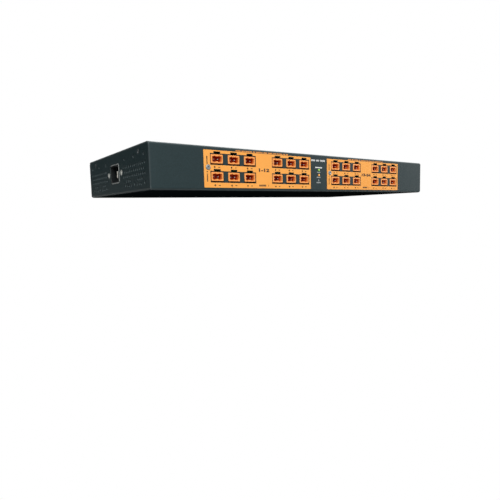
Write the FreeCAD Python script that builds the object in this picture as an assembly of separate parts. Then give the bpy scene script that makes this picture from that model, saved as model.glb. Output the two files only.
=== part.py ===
import FreeCAD, Part
import math
import os
from FreeCAD import Placement, Rotation, Vector

# DC power distribution unit, one rack unit high. The origin is the middle of the underside, +X runs
# along the outlet face towards the fan end, +Y from the outlet face to the switch face, +Z is up.
# All sizes are millimetres.

# Case: a folded steel tray and a cover plate that lies on joggled ledges of the long walls
case_width = 432.0
case_depth = 186.0
case_height = 43.7
sheet = 1.2
bend_radius = 2.4
wall_corner_radius = 3.0
seam_gap = 0.35
relief_radius = 0.9
rim_width = 9.0
ledge_width = 6.0
cover_gap = 0.25
cover_edge_radius = 0.6
tab_width = 16.0
tab_depth = 11.0
cover_screw_inset = 24.9
cover_screw_drop = 6.3

# Side walls: tapped bracket holes, and vent holes on the inlet wall
bracket_hole_radius = 1.65
bracket_inset = 11.9
bracket_pitch = 25.5
bracket_columns = 3
bracket_row_low = 8.0
bracket_row_step = 26.0
vent_radius = 1.45
vent_pitch = 5.08
vent_row_step = 4.75
vent_row_top = 26.1
vent_columns = 12
vent_gapped_even = (2, 3, 4, 7, 8, 9)
vent_gapped_odd = (1.5, 2.5, 3.5, 7.5, 8.5, 9.5)
vent_group_inset = 38.2

# Outlet banks: two printed labels, each with two rows of two groups of sockets
bank_count = 2
layout_middle = -0.9
label_gap = 27.8
label_bottom = 2.85
label_height = 36.85
label_thickness = 0.25
label_corner_radius = 0.8
label_end_margin = 10.5
first_outlet_inset = 15.4
outlets_per_group = 3
outlet_pitch = 20.2
group_step = 38.3
outlet_row_low = 13.9
outlet_row_step = 17.35
outlet_width = 14.1
outlet_height = 8.75
outlet_depth = 12.0
outlet_proud = 0.3
outlet_corner_radius = 0.7
outlet_rim_chamfer = 0.25
outlet_floor = 2.4
outlet_pin_pitch = 5.08
outlet_lobe_radius = 3.6
outlet_cavity_corner = 1.5
outlet_side_wall = 1.5
outlet_roof_wall = 1.7
outlet_bottom_wall = 1.25
coding_slot_width = 1.4
coding_slot_height = 0.6
outlet_pin_side = 1.0
outlet_pin_recess = 2.7
outlet_pin_tip = 0.3
outlet_pin_tail = 1.5
outlet_side_gap = 0.35
outlet_top_gap = 0.45
outlet_bottom_gap = 1.3
latch_notch_width = 7.4
latch_notch_foot = 6.2
latch_notch_rise = 2.2
window_margin = 0.7

# Boards, standoffs and fuses behind the outlet wall
board_thickness = 1.6
board_end_inset = 1.5
board_bottom = 3.4
board_top_clearance = 0.6
pin_hole_radius = 0.8
standoff_radius = 2.5
standoff_end_inset = 3.8
bank_screw_inset = 4.9
bank_screw_height = 22.7
fuse_width = 7.0
fuse_height = 4.4
fuse_thickness = 3.0
fuse_offset = 6.3
fuse_edge_radius = 0.8

# Screw holes, and how far a cutting tool runs past what it cuts
screw_radius = 1.5
screw_clearance = 0.15
thread_clearance = 0.04
countersink_depth = 1.1
overcut = 1.0
same_place = 1e-6

# Status column between the banks
status_lamp_heights = (25.4, 19.4)
lamp_radius = 1.5
lamp_hole_gap = 0.12
lamp_flange_radius = 1.95
lamp_flange_height = 1.0
lamp_proud = 1.2
status_board_width = 24.0
status_board_bottom = 8.0
status_board_top = 32.0
status_board_gap = 4.6
status_post_offset = 9.0
status_post_radius = 1.8
reset_height = 13.3
reset_button_radius = 1.3
reset_hole_gap = 0.15
reset_button_recess = 0.15
reset_button_rounding = 0.3
reset_body_side = 6.0
reset_body_height = 3.4
reset_guide_depth = 2.0
reset_insertion = 0.8

# Mains inlet on the -X wall
inlet_rim_width = 27.6
inlet_rim_height = 20.8
inlet_rim_radius = 4.0
inlet_rim_proud = 0.3
inlet_rim_rounding = 0.8
inlet_cutout_gap = 0.25
inlet_cavity_width = 23.8
inlet_cavity_height = 16.4
inlet_cavity_chamfer = 4.8
inlet_cavity_depth = 16.0
inlet_flange_width = 49.0
inlet_flange_thickness = 3.0
inlet_flange_radius = 5.0
inlet_body_depth = 21.0
inlet_screw_spacing = 40.0
inlet_blade_width = 4.0
inlet_blade_thickness = 2.0
inlet_blade_spacing = 14.0
inlet_line_rise = 2.0
inlet_earth_drop = 2.0
inlet_line_recess = 5.0
inlet_earth_recess = 2.5
inlet_tail = 8.0
inlet_blade_tip = 0.5
blade_gap = 0.04

# Fan on the +X wall, behind a stamped grille
fan_side = 40.0
fan_depth = 20.0
fan_bore_radius = 18.6
fan_corner_radius = 2.5
fan_screw_spacing = 32.0
fan_screw_hole = 1.8
fan_base_radius = 9.0
fan_base_thickness = 3.0
fan_strut_width = 2.2
fan_strut_seat = 0.4
fan_hub_radius = 8.6
fan_hub_rounding = 1.2
fan_hub_gap = 0.6
fan_hub_recess = 1.5
fan_shaft_radius = 1.2
fan_shaft_gap = 0.05
fan_shaft_length = 2.4
fan_blades = 7
blade_root_radius = 7.6
blade_tip_radius = 16.4
blade_root_chord = 8.0
blade_tip_chord = 10.5
blade_root_pitch = 52.0
blade_tip_pitch = 34.0
blade_thickness = 1.1
grille_hub_radius = 7.6
grille_ring_inner = 11.9
grille_ring_outer = 13.3
grille_edge_radius = 17.2
grille_spoke_width = 2.4

# Rocker switch and marker strip on the +Y wall
switch_inset = 36.3
switch_bezel_width = 20.5
switch_bezel_height = 32.0
switch_bezel_radius = 2.5
switch_bezel_proud = 2.2
switch_barrel_width = 16.8
switch_barrel_height = 26.0
switch_barrel_depth = 20.0
switch_barrel_gap = 0.2
switch_well_depth = 8.5
rocker_width = 12.8
rocker_half_height = 10.2
rocker_side_gap = 0.3
rocker_end_gap = 0.35
rocker_pivot_out = 0.5
rocker_crest = 1.5
rocker_tilt = 11.0
rocker_heel_angle = 15.0
rocker_heel_depth = 4.5
rocker_heel_half_height = 6.0
rocker_pin_radius = 1.2
rocker_pin_length = 1.0
rocker_pin_gap = 0.05
switch_tab_width = 4.8
switch_tab_thickness = 0.8
switch_tab_length = 8.0
switch_tab_seat = 4.0
switch_tab_step = 8.0
marker_length = 236.8
marker_height = 15.0
marker_thickness = 0.3
marker_gap = 0.4
marker_corner_radius = 1.0

# Two supply modules on the floor, and the bars that feed the boards
supply_length = 159.0
supply_depth = 97.0
supply_height = 30.0
supply_gap = 12.0
supply_back_gap = 36.0
supply_edge_radius = 1.0
supply_screw_inset = 20.0
supply_hole_depth = 6.0
terminal_recess = 13.0
terminal_shelf = 12.0
terminal_count = 5
terminal_pitch = 11.0
terminal_block_height = 9.0
terminal_wall = 1.4
terminal_wall_rise = 5.0
busbar_width = 10.0
busbar_thickness = 1.5
busbar_bend_radius = 2.5
busbar_height = 8.0
busbar_foot = 10.0
busbar_spread = 8.5

# Places that follow from the sizes
left = -case_width / 2
right = case_width / 2
front = -case_depth / 2
back = case_depth / 2
roof = case_height - sheet
wall_inside = front + sheet
group_width = (outlets_per_group - 1) * outlet_pitch
label_width = first_outlet_inset + 2 * group_width + group_step + label_end_margin
board_front = front - outlet_proud + outlet_depth
board_back = board_front + board_thickness
board_top = roof - sheet - board_top_clearance
status_front = wall_inside + status_board_gap
outlet_offsets = [
    first_outlet_inset + group * (group_width + group_step) + column * outlet_pitch
    for group in range(2)
    for column in range(outlets_per_group)
]
outlet_rows = (outlet_row_low + outlet_row_step, outlet_row_low)
label_lefts = (layout_middle - label_gap / 2 - label_width, layout_middle + label_gap / 2)
cavity_half_width = outlet_width / 2 - outlet_side_wall
cavity_top = outlet_height / 2 - outlet_roof_wall
cavity_bottom = -outlet_height / 2 + outlet_bottom_wall
cavity_ridge = (
    cavity_bottom + outlet_lobe_radius - math.sqrt(outlet_lobe_radius**2 - (outlet_pin_pitch / 2) ** 2)
)
cover_screw_height = case_height - cover_screw_drop
switch_x = left + switch_inset
inlet_height = case_height / 2
fan_height = case_height / 2
switch_height = case_height / 2
fan_edge_chamfer = bend_radius - sheet
supply_back = back - supply_back_gap
supply_front = supply_back - supply_depth
fan_inner = right - sheet - fan_depth
fan_outer = right - sheet
rocker_end_rise = rocker_crest + rocker_half_height * math.tan(math.radians(rocker_tilt))
rocker_radius = math.hypot(rocker_half_height, rocker_end_rise)
busbar_middle = first_outlet_inset + group_width + group_step / 2


def box(x0, x1, y0, y1, z0, z1):
    return Part.makeBox(x1 - x0, y1 - y0, z1 - z0, Vector(x0, y0, z0))


def rod(radius, start, end):
    """Cylinder from one point to another."""
    axis = end.sub(start)
    return Part.makeCylinder(radius, axis.Length, start, axis)


def rounded_face(u0, u1, v0, v1, radii, plane):
    """Rectangle with a radius at each corner: low left, low right, top right, top left."""
    shrink = 1 - math.sqrt(0.5)
    corners = ((u0, v0, 1, 1), (u1, v0, -1, 1), (u1, v1, -1, -1), (u0, v1, 1, -1))
    turns = []
    for index, (u, v, inward_u, inward_v) in enumerate(corners):
        radius = radii[index]
        on_u = plane(u + inward_u * radius, v)
        on_v = plane(u, v + inward_v * radius)
        middle = plane(u + inward_u * radius * shrink, v + inward_v * radius * shrink)
        if index % 2 == 0:
            turns.append((on_v, middle, on_u))
        else:
            turns.append((on_u, middle, on_v))
    edges = []
    for index, (enter, middle, leave) in enumerate(turns):
        if radii[index] > 0:
            edges.append(Part.Arc(enter, middle, leave).toShape())
        following = turns[(index + 1) % 4][0]
        edges.append(Part.LineSegment(leave, following).toShape())
    return Part.Face(Part.Wire(edges))


def slab_xz(x0, x1, z0, z1, y0, y1, radii):
    """Plate in the plane of the long walls."""
    face = rounded_face(x0, x1, z0, z1, radii, lambda u, v: Vector(u, y0, v))
    return face.extrude(Vector(0, y1 - y0, 0))


def slab_yz(y0, y1, z0, z1, x0, x1, radii):
    """Plate in the plane of the side walls."""
    face = rounded_face(y0, y1, z0, z1, radii, lambda u, v: Vector(x0, u, v))
    return face.extrude(Vector(x1 - x0, 0, 0))


def prism(points, sweep):
    """Closed polygon swept along a vector."""
    return Part.Face(Part.makePolygon(points + [points[0]])).extrude(sweep)


def edges_where(shape, test):
    return [edge for edge in shape.Edges if test(edge)]


def lies_at(edge, axis, value):
    """True for an edge whose ends all have the given coordinate: axis 0, 1 or 2."""
    return all(abs(v.Point[axis] - value) < same_place for v in edge.Vertexes)


def runs_along(edge, direction):
    if len(edge.Vertexes) < 2:
        return False
    span = edge.Vertexes[1].Point.sub(edge.Vertexes[0].Point)
    return span.Length > 0 and span.cross(direction).Length < same_place * span.Length


def placed(shape, outward, point):
    """Turns a shape made facing +Z so that it faces outward at a point."""
    copy = shape.copy()
    copy.Placement = Placement(point, Rotation(Vector(0, 0, 1), outward))
    return copy


def sunk_hole():
    """Clearance hole with a right-angled countersink, mouth at the origin."""
    hole = screw_radius + screw_clearance
    mouth = hole + countersink_depth
    cone = Part.makeCone(hole, mouth, countersink_depth, Vector(0, 0, -countersink_depth))
    bore = rod(hole, Vector(0, 0, -sheet - overcut), Vector(0, 0, 0))
    return cone.fuse(bore)


def outlet_places(bank):
    """Centres of one bank's sockets on the outlet wall, top row first."""
    return [(label_lefts[bank] + offset, row) for row in outlet_rows for offset in outlet_offsets]


def standoff_places(bank):
    """Left, middle and right posts that carry one bank's board."""
    start = label_lefts[bank]
    inner = (bank_screw_inset, busbar_middle, label_width - standoff_end_inset)
    return [Vector(start + inset, wall_inside, bank_screw_height) for inset in inner]


def bracket_places():
    """Depth and height of every bracket hole on a side wall."""
    insets = [bracket_inset + bracket_pitch * column for column in range(bracket_columns)]
    depths = [front + inset for inset in insets] + [back - inset for inset in insets]
    rows = (bracket_row_low, bracket_row_low + bracket_row_step)
    return [(depth, row) for depth in depths for row in rows]


def vent_places():
    """Depth and height of the vent holes: three full rows, then two rows with a gap in the middle."""
    full = range(vent_columns)
    offset_row = [column + 0.5 for column in range(vent_columns - 1)]
    rows = (full, offset_row, full, vent_gapped_odd, vent_gapped_even)
    places = []
    for side in (-1, 1):
        middle = side * (case_depth / 2 - vent_group_inset)
        for index, columns in enumerate(rows):
            height = vent_row_top - index * vent_row_step
            for column in columns:
                along = (column - (vent_columns - 1) / 2) * vent_pitch
                places.append((middle + along, height))
    return places


def cover_screw_depths():
    return (front + cover_screw_inset, back - cover_screw_inset)


def case_block(inset, radius):
    """Case outline inside the given inset, with its long edges and its foot rounded."""
    lengthwise = slab_yz(
        front + inset, back - inset, inset, case_height - inset, left + inset, right - inset, [radius] * 4
    )
    crosswise = slab_xz(
        left + inset, right - inset, inset, case_height - inset,
        front + inset, back - inset, [radius, radius, 0, 0],
    )
    return lengthwise.common(crosswise)


def tray_corner_cuts():
    """Open seams between the long and the side walls, their relief holes and the walls' rounded corners."""
    cuts = []
    for side in (-1, 1):
        outer = side * (case_width / 2 + overcut)
        inner = side * (case_width / 2 - sheet)
        rim_end = inner - side * seam_gap
        corner = side * (case_width / 2 - wall_corner_radius)
        for face in (-1, 1):
            seam_start = face * (case_depth / 2 - sheet)
            seam_end = seam_start - face * seam_gap
            ys = sorted((seam_start, seam_end))
            cuts.append(box(*sorted((outer, inner)), *ys, bend_radius, case_height + overcut))
            relief_y = (seam_start + seam_end) / 2
            relief_start = Vector(outer, relief_y, bend_radius)
            cuts.append(rod(relief_radius, relief_start, Vector(inner, relief_y, bend_radius)))
            rim_ys = sorted((seam_start, face * (case_depth / 2 - rim_width)))
            cuts.append(box(*sorted((inner, rim_end)), *rim_ys, roof - seam_gap, case_height + overcut))
            wall_ys = sorted((face * (case_depth / 2 + overcut), seam_start))
            block = box(
                *sorted((outer, corner)), *wall_ys, case_height - wall_corner_radius, case_height + overcut
            )
            round_end = rod(
                wall_corner_radius,
                Vector(corner, wall_ys[0] - overcut, case_height - wall_corner_radius),
                Vector(corner, wall_ys[1] + overcut, case_height - wall_corner_radius),
            )
            cuts.append(block.cut(round_end))
    return cuts


def outlet_wall_cuts():
    """Socket cut-outs with a latch notch above each, bank screw holes and the status column's holes."""
    cuts = []
    y0 = front - overcut
    y1 = wall_inside + overcut
    half = outlet_width / 2 + outlet_side_gap
    for bank in range(bank_count):
        for x, z in outlet_places(bank):
            top = z + outlet_height / 2 + outlet_top_gap
            cuts.append(box(x - half, x + half, y0, y1, z - outlet_height / 2 - outlet_bottom_gap, top))
            foot = latch_notch_foot / 2
            head = latch_notch_width / 2
            notch = [
                Vector(x - foot, y0, top - outlet_top_gap),
                Vector(x + foot, y0, top - outlet_top_gap),
                Vector(x + head, y0, top + latch_notch_rise),
                Vector(x - head, y0, top + latch_notch_rise),
            ]
            cuts.append(prism(notch, Vector(0, y1 - y0, 0)))
        post = standoff_places(bank)[0]
        hole = screw_radius + screw_clearance
        cuts.append(rod(hole, Vector(post.x, y0, post.z), Vector(post.x, y1, post.z)))
    for height in status_lamp_heights:
        hole = lamp_radius + lamp_hole_gap
        cuts.append(rod(hole, Vector(layout_middle, y0, height), Vector(layout_middle, y1, height)))
    hole = reset_button_radius + reset_hole_gap
    start = Vector(layout_middle, y0, reset_height)
    cuts.append(rod(hole, start, Vector(layout_middle, y1, reset_height)))
    return cuts


def side_wall_cuts():
    """Bracket holes and cover screw countersinks on both side walls, and the inlet wall's vents."""
    cuts = []
    for side in (-1, 1):
        outer = side * (case_width / 2 + overcut)
        inner = side * (case_width / 2 - sheet - overcut)
        for depth, height in bracket_places():
            start = Vector(outer, depth, height)
            cuts.append(rod(bracket_hole_radius, start, Vector(inner, depth, height)))
        for depth in cover_screw_depths():
            mouth = Vector(side * case_width / 2, depth, cover_screw_height)
            cuts.append(placed(sunk_hole(), Vector(side, 0, 0), mouth))
    for depth, height in vent_places():
        start = Vector(left - overcut, depth, height)
        cuts.append(rod(vent_radius, start, Vector(left + sheet + overcut, depth, height)))
    return cuts


def inlet_wall_cuts():
    half_width = inlet_rim_width / 2 + inlet_cutout_gap
    half_height = inlet_rim_height / 2 + inlet_cutout_gap
    cuts = [
        slab_yz(
            -half_width, half_width, inlet_height - half_height, inlet_height + half_height,
            left - overcut, left + sheet + overcut, [inlet_rim_radius + inlet_cutout_gap] * 4,
        )
    ]
    for side in (-1, 1):
        depth = side * inlet_screw_spacing / 2
        start = Vector(left - overcut, depth, inlet_height)
        end = Vector(left + sheet + overcut, depth, inlet_height)
        cuts.append(rod(screw_radius + screw_clearance, start, end))
    return cuts


def fan_screw_places():
    half = fan_screw_spacing / 2
    return [(depth, fan_height + rise) for depth in (-half, half) for rise in (-half, half)]


def grille_cuts():
    """Two rings of slots, each split in four by the diagonal spokes, and the fan's screw holes."""
    start = right - sheet - overcut
    end = right + overcut
    centre = Vector(start, 0, fan_height)
    far = Vector(end, 0, fan_height)
    reach = grille_edge_radius + overcut
    half_spoke = grille_spoke_width / 2
    spokes = []
    for turn in (45, -45):
        bar = box(start, end, -reach, reach, fan_height - half_spoke, fan_height + half_spoke)
        bar.rotate(centre, Vector(1, 0, 0), turn)
        spokes.append(bar)
    cuts = []
    for inner, outer in ((grille_hub_radius, grille_ring_inner), (grille_ring_outer, grille_edge_radius)):
        ring = rod(outer, centre, far).cut(rod(inner, centre, far))
        cuts.extend(ring.cut(spokes).Solids)
    for depth, height in fan_screw_places():
        cuts.append(placed(sunk_hole(), Vector(1, 0, 0), Vector(right, depth, height)))
    return cuts


def switch_wall_cuts():
    half_width = switch_barrel_width / 2 + switch_barrel_gap
    half_height = switch_barrel_height / 2 + switch_barrel_gap
    return [
        box(
            switch_x - half_width, switch_x + half_width, back - sheet - overcut, back + overcut,
            switch_height - half_height, switch_height + half_height,
        )
    ]


def supply_lefts():
    return (-supply_gap / 2 - supply_length, supply_gap / 2)


def supply_screw_places(module):
    start = supply_lefts()[module]
    xs = (start + supply_screw_inset, start + supply_length - supply_screw_inset)
    ys = (supply_front + supply_screw_inset, supply_back - supply_screw_inset)
    return [Vector(x, y, 0) for x in xs for y in ys]


def floor_cuts():
    places = [place for module in range(bank_count) for place in supply_screw_places(module)]
    return [placed(sunk_hole(), Vector(0, 0, -1), place) for place in places]


def chassis_tray():
    """Floor and four walls folded from one sheet; the long walls return over the top and step down
    into a ledge that carries the cover."""
    shell = case_block(0, bend_radius).cut(case_block(sheet, bend_radius - sheet))
    opening = box(
        left + sheet, right - sheet, front + rim_width, back - rim_width,
        roof - overcut, case_height + overcut,
    )
    ledges = []
    for face in (-1, 1):
        start = face * (case_depth / 2 - rim_width + sheet)
        end = face * (case_depth / 2 - rim_width - ledge_width)
        ys = sorted((start, end))
        ledges.append(
            box(left + sheet + seam_gap, right - sheet - seam_gap, *ys, roof - sheet, roof)
        )
    tray = shell.cut(opening).fuse(ledges)
    cuts = tray_corner_cuts() + outlet_wall_cuts() + side_wall_cuts()
    cuts += inlet_wall_cuts() + grille_cuts() + switch_wall_cuts() + floor_cuts()
    return tray.cut(cuts).removeSplitter()


def top_cover():
    """Flat plate between the rims, with four tabs folded down inside the side walls."""
    half_x = case_width / 2 - sheet - cover_gap
    half_y = case_depth / 2 - rim_width - cover_gap
    plate = box(-half_x, half_x, -half_y, half_y, roof, case_height)
    tabs = []
    holes = []
    for side in (-1, 1):
        xs = sorted((side * half_x, side * (half_x - sheet)))
        for depth in cover_screw_depths():
            tabs.append(
                box(*xs, depth - tab_width / 2, depth + tab_width / 2, case_height - tab_depth, case_height)
            )
            holes.append(
                rod(
                    screw_radius + thread_clearance,
                    Vector(xs[0] - overcut, depth, cover_screw_height),
                    Vector(xs[1] + overcut, depth, cover_screw_height),
                )
            )
    cover = plate.fuse(tabs).cut(holes).removeSplitter()
    long_edges = edges_where(
        cover,
        lambda e: runs_along(e, Vector(0, 1, 0))
        and abs(abs(e.CenterOfMass.x) - half_x) < same_place
        and abs(e.CenterOfMass.z - case_height) < same_place,
    )
    return cover.makeFillet(cover_edge_radius, long_edges)


def outlet_label(bank):
    """Printed film with a window round each group of three sockets and a notch above each socket."""
    start = label_lefts[bank]
    film = slab_xz(
        start, start + label_width, label_bottom, label_bottom + label_height,
        front - label_thickness, front, [label_corner_radius] * 4,
    )
    y0 = front - label_thickness - overcut
    y1 = front + overcut
    cuts = []
    half = outlet_width / 2 + outlet_side_gap + window_margin
    for row in outlet_rows:
        low = row - outlet_height / 2 - outlet_bottom_gap - window_margin / 2
        high = row + outlet_height / 2 + outlet_top_gap + window_margin
        for group in range(2):
            first = start + outlet_offsets[group * outlets_per_group]
            cuts.append(box(first - half, first + group_width + half, y0, y1, low, high))
    for x, z in outlet_places(bank):
        notch_half = latch_notch_width / 2 + outlet_side_gap
        foot = z + outlet_height / 2
        top = foot + outlet_top_gap + latch_notch_rise + outlet_side_gap
        cuts.append(box(x - notch_half, x + notch_half, y0, y1, foot, top))
    post = standoff_places(bank)[0]
    cuts.append(rod(screw_radius + screw_clearance, Vector(post.x, y0, post.z), Vector(post.x, y1, post.z)))
    return film.cut(cuts)


def outlet_cavity():
    """Plug cavity: flat roof with two coding slots, upright cheeks with rounded feet, and a floor of two
    shallow lobes that rise to a ridge between the contacts."""
    half_pitch = outlet_pin_pitch / 2
    foot = cavity_half_width - outlet_cavity_corner
    knee = cavity_bottom + outlet_cavity_corner
    diagonal = outlet_cavity_corner * math.sqrt(0.5)
    half_swing = math.asin(half_pitch / outlet_lobe_radius) / 2
    crest = Vector(0, 0, cavity_ridge)
    curves = [
        Part.LineSegment(Vector(-cavity_half_width, 0, cavity_top), Vector(cavity_half_width, 0, cavity_top))
    ]
    for side in (-1, 1):
        roof_end = Vector(side * cavity_half_width, 0, cavity_top)
        cheek_end = Vector(side * cavity_half_width, 0, knee)
        heel = Vector(side * (foot + diagonal), 0, knee - diagonal)
        floor_end = Vector(side * foot, 0, cavity_bottom)
        lobe_end = Vector(side * half_pitch, 0, cavity_bottom)
        rise = Vector(
            side * (half_pitch - outlet_lobe_radius * math.sin(half_swing)), 0,
            cavity_bottom + outlet_lobe_radius * (1 - math.cos(half_swing)),
        )
        curves += [
            Part.LineSegment(roof_end, cheek_end),
            Part.Arc(cheek_end, heel, floor_end),
            Part.LineSegment(floor_end, lobe_end),
            Part.Arc(lobe_end, rise, crest),
        ]
    outline = Part.Wire(Part.sortEdges([curve.toShape() for curve in curves])[0])
    cavity = Part.Face(outline).extrude(Vector(0, outlet_depth - outlet_floor, 0))
    slots = [
        box(
            side * half_pitch - coding_slot_width / 2, side * half_pitch + coding_slot_width / 2,
            0, outlet_depth - outlet_floor,
            cavity_top - coding_slot_height, cavity_top + coding_slot_height,
        )
        for side in (-1, 1)
    ]
    return cavity.fuse(slots)


def outlet_housing():
    """Moulded socket: middle of its face at the origin, plug side towards -Y."""
    half_width = outlet_width / 2
    half_height = outlet_height / 2
    body = slab_xz(
        -half_width, half_width, -half_height, half_height, 0, outlet_depth, [outlet_corner_radius] * 4
    )
    rim = edges_where(body, lambda e: lies_at(e, 1, 0))
    body = body.makeChamfer(outlet_rim_chamfer, rim)
    half_slot = outlet_pin_side / 2 + blade_gap
    slots = [
        box(
            side * outlet_pin_pitch / 2 - half_slot, side * outlet_pin_pitch / 2 + half_slot,
            0, outlet_depth + overcut, -half_slot, half_slot,
        )
        for side in (-1, 1)
    ]
    return body.cut([outlet_cavity()] + slots)


def outlet_pin():
    """Square contact with a chamfered tip, on the axis of its chamber."""
    half = outlet_pin_side / 2
    end = outlet_depth + board_thickness + outlet_pin_tail
    pin = box(-half, half, outlet_pin_recess, end, -half, half)
    tip = edges_where(pin, lambda e: lies_at(e, 1, outlet_pin_recess))
    return pin.makeChamfer(outlet_pin_tip, tip)


def outlet_pins(bank):
    pin = outlet_pin()
    face = front - outlet_proud
    return [
        pin.translated(Vector(x + side * outlet_pin_pitch / 2, face, z))
        for x, z in outlet_places(bank)
        for side in (-1, 1)
    ]


def outlet_board(bank):
    """Circuit board behind one bank, drilled for the contacts and the posts' screws."""
    start = label_lefts[bank]
    board = box(
        start + board_end_inset, start + label_width - board_end_inset,
        board_front, board_back, board_bottom, board_top,
    )
    y0 = board_front - overcut
    y1 = board_back + overcut
    holes = []
    for x, z in outlet_places(bank):
        for side in (-1, 1):
            pin_x = x + side * outlet_pin_pitch / 2
            holes.append(rod(pin_hole_radius, Vector(pin_x, y0, z), Vector(pin_x, y1, z)))
    for post in standoff_places(bank):
        hole = screw_radius + screw_clearance
        holes.append(rod(hole, Vector(post.x, y0, post.z), Vector(post.x, y1, post.z)))
    return board.cut(holes)


def outlet_fuses(bank):
    """One resettable fuse for each socket, in the band between the two rows."""
    fuses = []
    for x, z in outlet_places(bank):
        towards_middle = -1 if z > outlet_row_low else 1
        height = z + towards_middle * fuse_offset
        fuse = box(
            x - fuse_width / 2, x + fuse_width / 2, board_back, board_back + fuse_thickness,
            height - fuse_height / 2, height + fuse_height / 2,
        )
        upright = edges_where(fuse, lambda e: runs_along(e, Vector(0, 1, 0)))
        fuses.append(fuse.makeFillet(fuse_edge_radius, upright))
    return fuses


def board_standoffs():
    """Tapped posts pressed into the outlet wall, for the bank boards and the status board."""
    posts = []
    for bank in range(bank_count):
        for place in standoff_places(bank):
            end = Vector(place.x, board_front, place.z)
            bore = rod(screw_radius + thread_clearance, place, end)
            posts.append(rod(standoff_radius, place, end).cut(bore))
    for place in status_post_places():
        posts.append(rod(status_post_radius, place, Vector(place.x, status_front, place.z)))
    return posts


def status_post_places():
    middle = (status_board_bottom + status_board_top) / 2
    xs = (layout_middle - status_post_offset, layout_middle + status_post_offset)
    return [Vector(x, wall_inside, middle) for x in xs]


def status_board():
    half = status_board_width / 2
    return box(
        layout_middle - half, layout_middle + half, status_front, status_front + board_thickness,
        status_board_bottom, status_board_top,
    )


def status_lamp(height):
    """Round lamp with a domed tip and a base flange, seated on the status board."""
    centre = Vector(layout_middle, front - lamp_proud + lamp_radius, height)
    seat = Vector(layout_middle, status_front, height)
    barrel = rod(lamp_radius, centre, seat)
    dome = Part.makeSphere(lamp_radius, centre)
    flange = rod(lamp_flange_radius, seat.sub(Vector(0, lamp_flange_height, 0)), seat)
    return barrel.fuse([dome, flange]).removeSplitter()


def reset_switch():
    """Square switch body on the status board with a guide bore for its button."""
    half = reset_body_side / 2
    body = box(
        layout_middle - half, layout_middle + half, status_front - reset_body_height, status_front,
        reset_height - half, reset_height + half,
    )
    mouth = Vector(layout_middle, status_front - reset_body_height, reset_height)
    guide = rod(
        reset_button_radius + reset_hole_gap, mouth, mouth.add(Vector(0, reset_guide_depth, 0))
    )
    return body.cut(guide)


def reset_button():
    """Plunger, from just behind the outside of the wall into its guide."""
    end = status_front - reset_body_height + reset_insertion
    start = Vector(layout_middle, front + reset_button_recess, reset_height)
    button = rod(reset_button_radius, start, Vector(layout_middle, end, reset_height))
    rim = edges_where(button, lambda e: lies_at(e, 1, start.y))
    return button.makeFillet(reset_button_rounding, rim)


def inlet_housing():
    """Mains inlet: raised rim through the wall, flange behind it, and a keyed cavity for the plug."""
    half_width = inlet_rim_width / 2
    half_height = inlet_rim_height / 2
    rim_face = left - inlet_rim_proud
    behind_wall = left + sheet
    low = inlet_height - half_height
    high = inlet_height + half_height
    body_end = behind_wall + inlet_body_depth
    body = slab_yz(-half_width, half_width, low, high, rim_face, body_end, [inlet_rim_radius] * 4)
    rim = edges_where(body, lambda e: lies_at(e, 0, rim_face))
    body = body.makeFillet(inlet_rim_rounding, rim)
    flange = slab_yz(
        -inlet_flange_width / 2, inlet_flange_width / 2, low, high,
        behind_wall, behind_wall + inlet_flange_thickness, [inlet_flange_radius] * 4,
    )
    cavity_half = inlet_cavity_width / 2
    cavity_low = inlet_height - inlet_cavity_height / 2
    cavity_high = inlet_height + inlet_cavity_height / 2
    cavity = prism(
        [
            Vector(rim_face - overcut, -cavity_half, cavity_high),
            Vector(rim_face - overcut, cavity_half, cavity_high),
            Vector(rim_face - overcut, cavity_half, cavity_low + inlet_cavity_chamfer),
            Vector(rim_face - overcut, cavity_half - inlet_cavity_chamfer, cavity_low),
            Vector(rim_face - overcut, inlet_cavity_chamfer - cavity_half, cavity_low),
            Vector(rim_face - overcut, -cavity_half, cavity_low + inlet_cavity_chamfer),
        ],
        Vector(inlet_cavity_depth + overcut, 0, 0),
    )
    cuts = [cavity]
    for depth, height, recess in inlet_blade_places():
        half_y, half_z = inlet_blade_section(blade_gap)
        cuts.append(
            box(
                rim_face, body_end + overcut, depth - half_y, depth + half_y,
                height - half_z, height + half_z,
            )
        )
    for side in (-1, 1):
        start = Vector(behind_wall - overcut, side * inlet_screw_spacing / 2, inlet_height)
        end = start.add(Vector(inlet_flange_thickness + 2 * overcut, 0, 0))
        cuts.append(rod(screw_radius + thread_clearance, start, end))
    return body.fuse(flange).cut(cuts).removeSplitter()


def inlet_blade_section(gap):
    return inlet_blade_thickness / 2 + gap, inlet_blade_width / 2 + gap


def inlet_blade_places():
    """Depth, height and recess of the two line blades and the earth blade."""
    half = inlet_blade_spacing / 2
    line_height = inlet_height + inlet_line_rise
    return [
        (-half, line_height, inlet_line_recess),
        (half, line_height, inlet_line_recess),
        (0, inlet_height - inlet_earth_drop, inlet_earth_recess),
    ]


def inlet_blades():
    blades = []
    half_y, half_z = inlet_blade_section(0)
    for depth, height, recess in inlet_blade_places():
        start = left - inlet_rim_proud + recess
        end = left + sheet + inlet_body_depth + inlet_tail
        blade = box(start, end, depth - half_y, depth + half_y, height - half_z, height + half_z)
        tip = edges_where(blade, lambda e: lies_at(e, 0, start))
        blades.append(blade.makeChamfer(inlet_blade_tip, tip))
    return blades


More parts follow.
